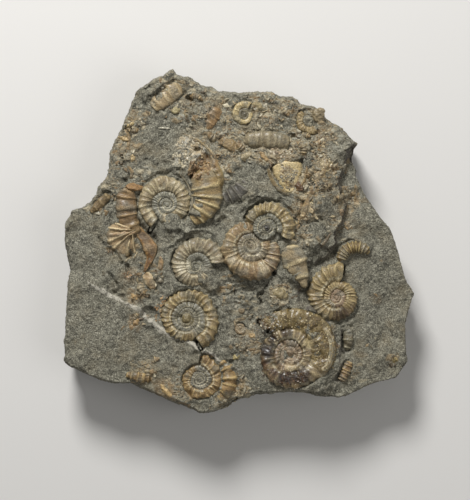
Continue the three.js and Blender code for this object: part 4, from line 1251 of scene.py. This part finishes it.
def colourRock(piece):
    points = getPoints(piece)
    normals = getNormals(piece)
    flat = points / mm
    away, _, _ = lineDistance(points, rock["scarpLine"])
    top = ease(0.1, 0.5, normals[:, 2]) * ease(10, 12, flat[:, 2])
    shares = patchShares(points)
    masks = {"shelly": top * shares["shelly"], "orange": top * shares["orange"]}
    steep = ease(0.8, 0.4, normals[:, 2])    # the faces of the step, which the scarp mask darkens with painted shade
    masks["scarp"] = steep * ease(3.4, 1.2, away) * ease(10, 12, flat[:, 2])
    veinAway, _, along = lineDistance(points, vein["line"])
    ends = ease(0, 0.12, along) * ease(1, 0.8, along)
    width = vein["width"] * (0.3 + 0.7 * ends) * (0.5 + 0.7 * grain(points, 2.2, 19))
    veinAway = veinAway + 0.6 * (grain(points, 1.0, 53) - 0.5)
    mottled = 0.75 + 0.25 * ease(0.25, 0.6, grain(points, 0.8, 54))
    calcite = top * shares["pale"] * (0.4 + 0.6 * grain(points, 1.0, 57))
    masks["vein"] = np.maximum(ease(1.1, 0.2, veinAway / width) * top * mottled, calcite)
    for name, values in masks.items():
        addMask(piece, name, values)


slab = rockBlank()
print("slab remeshed:", len(slab.data.polygons), "faces")
shapeTop(slab)
bedSides(slab)
breakUp(slab)
colourRock(slab)
dress(slab, mudstone)
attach(slab, "root")
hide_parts("matrix_slab")
print("slab broken up and coloured")


# Broken bits of shell, little ribbed scraps, lumps and crystals bedded in the upper face

bits = {
    "seed": 7, "flakes": 400, "scraps": 26, "thick": 0.14, "tries": 9000,
    "rim": 11,    # a place lower than this is past the slab's edge
    "lowest": 12, "crystalsFrom": 9,    # no flake and no crystal lies lower than these
    "sink": 0.3,    # how deep lumps and scraps are set in the rock
    "kinds": [    # of flake
        {"long": 2.0, "wide": 0.8, "taper": 0.6, "bend": 70, "ribs": 0},
        {"long": 2.8, "wide": 0.7, "taper": 0.7, "bend": 110, "ribs": 0},
        {"long": 1.4, "wide": 1.1, "taper": 0.4, "bend": 50, "ribs": 0},
        {"long": 2.4, "wide": 1.5, "taper": 0.5, "bend": 60, "ribs": 4},
        {"long": 1.7, "wide": 0.9, "taper": 0.3, "bend": 80, "ribs": 3},
    ],
    "tones": [(186, 175, 146), (170, 154, 120), (154, 135, 102), (196, 187, 162), (134, 113, 82),
              (114, 97, 74), (150, 126, 90), (146, 136, 111)],
    # the kinds of scrap: ribs, bow and width
    "scrapKinds": [(4, 0.7, 2.0), (5, -0.5, 1.6), (3, 0.2, 2.4), (6, 0.9, 1.5), (4, -0.2, 1.3)],
}
# Clusters of crystals: x, y, reach, how many, least and greatest size, and colours
clusters = [
    (-13.2, 24.4, 3.0, 80, 0.5, 1.3, [(186, 176, 152), (176, 164, 138), (164, 150, 122)]),
    (-12.8, 23.6, 3.6, 110, 0.3, 0.7, [(202, 194, 172), (184, 172, 146), (160, 144, 116)]),
    (-11.0, 24.0, 1.6, 40, 0.7, 1.5, [(182, 168, 140), (172, 156, 126)]),
    (-19.4, -16.4, 2.4, 40, 0.4, 1.2, [(160, 126, 84), (178, 150, 108), (138, 106, 70), (150, 130, 98)]),
    (-20.6, -19.4, 1.4, 14, 0.4, 1.0, [(160, 128, 86), (140, 110, 72)]),
    (-15.0, 21.2, 2.2, 30, 0.5, 1.4, [(188, 178, 152), (178, 166, 138)]),
    (-15.2, 20.8, 2.6, 30, 0.3, 0.8, [(200, 192, 168), (182, 168, 138)]),
    (-10.4, 18.6, 2.8, 30, 0.7, 2.0, [(122, 98, 68), (138, 114, 80), (108, 86, 60)]),
    (-10.4, 18.6, 3.0, 50, 0.3, 0.8, [(124, 98, 68), (146, 122, 88), (98, 76, 54), (176, 156, 120)]),
    (-8.4, 20.2, 2.6, 70, 0.3, 0.9, [(152, 120, 82), (168, 140, 100), (130, 100, 66), (190, 172, 136)]),
    (12.6, 17.6, 3.4, 34, 0.35, 0.7, [(190, 168, 120), (176, 152, 106), (150, 126, 88)]),
    (12.6, 17.6, 3.4, 90, 0.2, 0.4, [(222, 210, 176), (198, 176, 126), (166, 138, 92)]),
    (12.2, 14.8, 1.8, 40, 0.3, 0.8, [(190, 170, 124), (172, 150, 104)]),
    (11.0, 21.6, 3.4, 30, 0.6, 1.8, [(172, 158, 130), (158, 140, 112), (188, 176, 152)]),
    (11.4, 21.8, 3.0, 24, 0.25, 0.6, [(196, 184, 160), (206, 198, 178)]),
    (-2.6, 25.3, 3.2, 110, 0.3, 0.8, [(186, 168, 130), (164, 142, 104), (140, 116, 80), (200, 186, 152),
                                      (112, 88, 58)]),
    (22.2, 20.4, 2.2, 40, 0.4, 1.1, [(180, 164, 128), (164, 144, 108), (192, 178, 146)]),
    (20.6, 16.8, 2.0, 32, 0.4, 1.0, [(182, 164, 128), (160, 140, 106), (192, 178, 146)]),
    (19.4, 13.8, 1.4, 20, 0.4, 1.0, [(184, 166, 130), (162, 142, 106)]),
    (17.8, 11.0, 1.8, 30, 0.4, 1.0, [(186, 170, 132), (164, 144, 108)]),
    (16.6, 7.0, 1.6, 24, 0.4, 0.9, [(178, 160, 124), (160, 140, 106)]),
    (-8.7, -29.8, 1.8, 18, 0.3, 0.7, [(182, 144, 92), (204, 186, 146)]),
    (5.6, -21.4, 2.2, 44, 0.35, 0.9, [(92, 74, 54), (116, 94, 66), (150, 130, 96), (190, 178, 150)]),
    (7.2, -20.8, 2.2, 70, 0.35, 0.9, [(70, 56, 40), (92, 74, 52), (112, 92, 64), (130, 110, 80)]),
    (9.2, -21.9, 1.9, 30, 0.35, 0.9, [(206, 202, 190), (150, 140, 116), (130, 112, 80)]),
    (12.2, -35.4, 1.9, 60, 0.4, 1.0, [(40, 27, 17), (56, 38, 24), (74, 50, 30), (48, 33, 22), (92, 66, 42)]),
    (15.6, -35.2, 1.9, 50, 0.4, 1.0, [(44, 30, 19), (60, 42, 27), (80, 56, 36), (98, 74, 48)]),
    (13.6, -35.4, 3.2, 34, 0.25, 0.6, [(204, 194, 170), (178, 156, 118), (150, 122, 84)]),
    (7.8, -34.4, 2.2, 40, 0.3, 0.7, [(66, 50, 38), (84, 64, 48), (110, 86, 62)]),
    (8.4, -25.2, 2.4, 50, 0.3, 0.8, [(42, 31, 20), (62, 46, 30), (54, 40, 27), (92, 72, 48),
                                     (184, 172, 146)]),
    (20.6, -30.6, 1.6, 16, 0.3, 0.7, [(198, 180, 140), (140, 116, 76)]),
    (4.0, -27.6, 1.8, 18, 0.3, 0.7, [(88, 68, 50), (176, 160, 130)]),
    (20.6, 25.4, 1.8, 14, 0.4, 1.0, [(150, 118, 74), (182, 160, 120), (128, 98, 62)]),
    (12.2, 23.6, 2.0, 20, 0.3, 0.7, [(216, 206, 184), (170, 130, 110)]),
    (-1.0, -41.0, 3.4, 26, 0.3, 0.7, [(176, 160, 124), (150, 138, 110)]),
    (-28.6, -8.6, 1.1, 12, 0.4, 0.9, [(128, 88, 58), (170, 134, 94)]),
]
druse = {    # small crystals over the crushed chamber of the largest coil
    "centre": (13.1, -29.0), "from": -26, "to": 124, "inner": 6.8, "outer": 12.2, "count": 380,
    "sizes": (0.2, 0.55),
    "tones": [(134, 114, 70), (156, 138, 96), (196, 182, 142), (102, 82, 52), (120, 100, 62)],
}
# Larger lumps and chips: x, y, long, wide, turn in degrees, colour
lumps = [
    (-26.9, 14.4, 4.6, 3.8, 20, (138, 107, 69)), (-16.4, 34.1, 2.1, 2.0, 0, (152, 140, 102)),
    (15.2, 14.4, 3.6, 1.8, 52, (92, 68, 44)), (30.2, 12.4, 4.0, 1.2, 80, (132, 112, 80)),
    (10.6, -13.0, 4.4, 3.0, 20, (142, 128, 94)), (-0.7, -29.8, 1.7, 1.4, 0, (170, 154, 106)),
    (20.5, 32.7, 3.8, 3.0, 110, (130, 116, 88)), (-26.9, -14.3, 2.0, 1.4, 60, (160, 132, 88)),
    (-26.3, -20.9, 2.1, 1.3, 10, (156, 128, 86)), (-19.1, -38.6, 4.4, 1.6, 14, (168, 142, 96)),
    (-28.4, 30.0, 2.6, 1.2, 80, (172, 152, 108)), (-29.9, 26.6, 3.0, 1.2, 76, (168, 144, 100)),
    (-27.6, 21.6, 2.2, 1.4, 40, (180, 158, 116)), (18.6, 8.4, 2.2, 1.2, 60, (166, 148, 114)),
    (26.4, 7.4, 1.8, 1.2, 80, (140, 120, 92)), (21.6, 20.0, 2.6, 1.6, 40, (170, 154, 120)),
    (24.4, 17.6, 2.0, 1.2, 60, (152, 136, 106)), (2.0, 21.8, 2.8, 1.8, 150, (154, 140, 108)),
    (-2.4, 25.4, 5.4, 3.0, 168, (132, 112, 78)), (6.6, 22.0, 3.0, 1.0, 10, (160, 134, 94)),
    (14.2, 4.4, 3.0, 1.4, 70, (160, 140, 100)), (40.8, -31.0, 2.0, 1.6, 80, (150, 132, 88)),
    (3.6, -24.2, 2.2, 1.4, 20, (156, 132, 92)),
]


def makeFlake(kind):
    deselectAll()
    bpy.ops.mesh.primitive_grid_add(x_subdivisions=6, y_subdivisions=3, size=1)
    flake = bpy.context.object
    flake.scale = (kind["long"] * mm, kind["wide"] * mm, 1)
    settle(flake)
    points = getPoints(flake)
    along = points[:, 0] / (kind["long"] * mm) * 2
    points[:, 1] *= 1 - kind["taper"] * along ** 2
    points[:, 1] += 0.18 * kind["wide"] * mm * along ** 2
    if kind["ribs"]:
        points[:, 2] += 0.13 * mm * np.cos(along * kind["ribs"] * math.pi)
    setPoints(flake, points)
    for axis, angle in (("Y", kind["bend"]), ("X", 30)):
        addModifier(flake, "SIMPLE_DEFORM", deform_method="BEND", deform_axis=axis, angle=math.radians(angle))
    addModifier(flake, "SOLIDIFY", thickness=bits["thick"] * mm, offset=0)
    return flake


def makeCrystal():
    deselectAll()
    bpy.ops.mesh.primitive_ico_sphere_add(subdivisions=1, radius=0.5 * mm)
    crystal = bpy.context.object
    settle(crystal)
    editAll(crystal)
    bpy.ops.transform.vertex_random(offset=0.16 * mm, seed=3)
    leaveEdit()
    return crystal


def makeLump(long, wide, seed):
    deselectAll()
    bpy.ops.mesh.primitive_ico_sphere_add(subdivisions=4, radius=0.5 * mm)
    lump = bpy.context.object
    lump.scale = (long, wide, 0.6 + 0.17 * long)
    settle(lump)
    lump.data.transform(Matrix.Translation((seed * 0.01, 0, 0)))    # so each lump meets other noise
    displace(lump, 0.5 * mm, 0.4, texture=newTexture("broken", 0.9, "VORONOI"))
    displace(lump, 0.3 * mm, 0.5, texture=newTexture("pitted", 0.5))
    lump.data.transform(Matrix.Translation((-seed * 0.01, 0, 0)))
    return lump


def treeOf(piece):
    return BVHTree.FromObject(piece, bpy.context.evaluated_depsgraph_get())


surface = treeOf(slab)
standing = [surface, treeOf(coilPieces["ammonite_lower_right"]), treeOf(coilPieces["ammonite_upper_left"]),
            treeOf(stripPieces["broken_chamber"])]


rayFrom = 0.05    # metres, well above everything


def ground(x, y, trees=(surface,)):    # the highest place of the rock, or of all that stands there
    best, slope = None, None
    for tree in trees:
        place, normal, _, _ = tree.ray_cast(Vector((x * mm, y * mm, rayFrom)), Vector((0, 0, -1)))
        if place is not None and (best is None or place.z > best.z):
            best, slope = place, normal
    return best, slope


shellSpots = [(*spec["centre"], spec["radius"] * 0.97) for spec in coils.values()]
for spec in strips.values():
    shellSpots += [(*place, max(spec["widths"]) * 0.42) for place in stripPath(spec, 8)]
shellSpots = np.array(shellSpots)


def onShell(x, y, margin=1.0):
    away = np.hypot(shellSpots[:, 0] - x, shellSpots[:, 1] - y)
    return bool(np.any(away < shellSpots[:, 2] * margin))


def nearEdge(x, y, reach=1.6):
    for dx, dy in ((reach, 0), (-reach, 0), (0, reach), (0, -reach)):
        place = ground(x + dx, y + dy)[0]
        if place is None or place.z < bits["rim"] * mm:
            return True
    return False


def standOn(normal, bearing):    # turned about the rock's normal
    return normal.to_track_quat("Z", "Y").to_matrix().to_4x4() @ Matrix.Rotation(bearing, 4, "Z")


def anyTurn(chance):
    return Matrix.Rotation(chance.uniform(0, math.tau), 4, (chance.random(), chance.random(), 1))


def layDown(master, place, turn, size, tone):    # a copy with its own mesh, turned and set in the rock
    mesh = master.data.copy()
    mesh.transform(Matrix.Translation(place) @ turn @ Matrix.Diagonal((*size, 1)))
    copy = bpy.data.objects.new("bit", mesh)
    bpy.context.scene.collection.objects.link(copy)
    if tone is not None:
        paint(copy, np.tile(linear(*tone), (len(mesh.vertices), 1)))
    return copy


def scatterFlakes(chance):
    masters = [makeFlake(kind) for kind in bits["kinds"]]
    places = [[chance.uniform(-40, 40), chance.uniform(-43, 43), 0] for _ in range(bits["tries"])]
    places = np.array(places) * mm
    copies = []
    for (x, y, _), share in zip(places / mm, patchShares(places)["shelly"]):
        if len(copies) >= bits["flakes"]:
            break
        if chance.random() > share ** 1.3 or onShell(x, y):
            continue
        place, normal = ground(x, y)
        if place is None or normal.z < 0.5 or place.z < bits["lowest"] * mm or nearEdge(x, y):
            continue
        index = chance.randrange(len(masters))
        onEdge = chance.random() < 0.2    # one in five stands on its edge
        tilt = math.radians(chance.uniform(65, 95) if onEdge else chance.uniform(-14, 14))
        lift = -0.6 if onEdge else chance.uniform(-0.25, -0.05)
        turn = standOn(normal, chance.uniform(0, math.tau)) @ Matrix.Rotation(tilt, 4, "X")
        scale = chance.uniform(0.5, 1.25)
        size = (scale, scale * chance.uniform(0.8, 1.2), scale)
        shade = chance.uniform(0.8, 1.0)
        tone = [value * shade for value in chance.choice(bits["tones"])]
        copies.append(layDown(masters[index], place + normal * lift * mm, turn, size, tone))
    for master in masters:
        bpy.data.objects.remove(master)
    return copies


def growCrystals(chance):
    master = makeCrystal()
    copies = []
    for _ in range(druse["count"]):
        bearing = math.radians(chance.uniform(druse["from"], druse["to"]))
        out = chance.uniform(druse["inner"], druse["outer"])
        x = druse["centre"][0] + out * math.cos(bearing)
        y = druse["centre"][1] + out * math.sin(bearing)
        place, _ = ground(x, y, standing)
        if place is None:
            continue
        turn = anyTurn(chance)
        size = [chance.uniform(*druse["sizes"]) for _ in range(3)]
        copies.append(layDown(master, place, turn, size, chance.choice(druse["tones"])))
    for x, y, reach, count, least, most, tones in clusters:
        for _ in range(count):
            bearing, out = chance.uniform(0, math.tau), reach * math.sqrt(chance.random())
            place, _ = ground(x + out * math.cos(bearing), y + out * math.sin(bearing), standing)
            if place is None or place.z < bits["crystalsFrom"] * mm:
                continue
            turn = anyTurn(chance)
            size = [chance.uniform(least, limit) for limit in (most, most, 0.5 * most + 0.3)]
            place.z -= (0.1 + 0.16 * size[2]) * mm
            copies.append(layDown(master, place, turn, size, chance.choice(tones)))
    bpy.data.objects.remove(master)
    return copies


def setLumps():
    copies = []
    for i, (x, y, long, wide, angle, tone) in enumerate(lumps):
        master = makeLump(long, wide, i)
        place, normal = ground(x, y)
        turn = standOn(normal, math.radians(angle))
        copies.append(layDown(master, place - normal * bits["sink"] * mm, turn, (1, 1, 1), tone))
        bpy.data.objects.remove(master)
    return copies


def layScraps(chance):    # short ribbed lengths of small whorls, a few of them made and then copied
    masters = []
    for i, (ribs, bow, wide) in enumerate(bits["scrapKinds"]):
        masters.append(buildStrip(f"scrap_{i}", {
            "slot": "cream_shell", "path": [(-1.9, 0), (0, bow), (1.9, 0)], "level": 0,
            "widths": [wide * 0.6, wide, wide * 0.8], "rise": 0.35 + 0.15 * wide,
            "ribs": ribs, "ribHeight": 0.26, "bury": 0.2, "wear": 0.25,
            "crest": (190, 168, 124), "furrow": (124, 100, 66),
        }))
    copies = []
    while len(copies) < bits["scraps"]:
        x, y = chance.uniform(-33, 30), chance.uniform(-42, 42)
        share = patchShares(np.array([[x, y, 0]]) * mm)["shelly"][0]
        if chance.random() > share or onShell(x, y, 1.15):
            continue
        place, normal = ground(x, y)
        if place is None or normal.z < 0.6 or nearEdge(x, y):
            continue
        turn = standOn(normal, chance.uniform(0, math.tau))
        scale = chance.uniform(0.6, 1.2)
        place = place - normal * bits["sink"] * mm
        copies.append(layDown(chance.choice(masters), place, turn, (scale,) * 3, None))
    for master in masters:
        bpy.data.objects.remove(master)
    return copies


def drape(piece, spec):    # the strip follows the rock under it and stands out by "proud"
    points = getPoints(piece)
    top = (spec["level"] + spec["rise"] - spec["proud"]) * mm
    for point in points:
        place = ground(point[0] / mm, point[1] / mm, standing)[0]
        if place is not None:
            point[2] += place.z - top
    setPoints(piece, points)
    return piece


chance = random.Random(bits["seed"])
loosePieces = [drape(piece, spec) for piece, spec in loosePieces]
standing += [treeOf(piece) for piece in loosePieces]
loosePieces += setLumps()
loosePieces += layScraps(chance)
crystalPiece = joinInto("calcite_crystals", growCrystals(chance))
flakes = scatterFlakes(chance)
print("flakes laid:", len(flakes))
fragments = joinInto("shell_fragments", loosePieces + flakes)
for piece, finish in ((fragments, "cream_shell"), (crystalPiece, "amber_shell")):
    dress(piece, shellFinishes[finish], smooth=piece == fragments)
    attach(piece, "root")
print("fragments are bedded in")
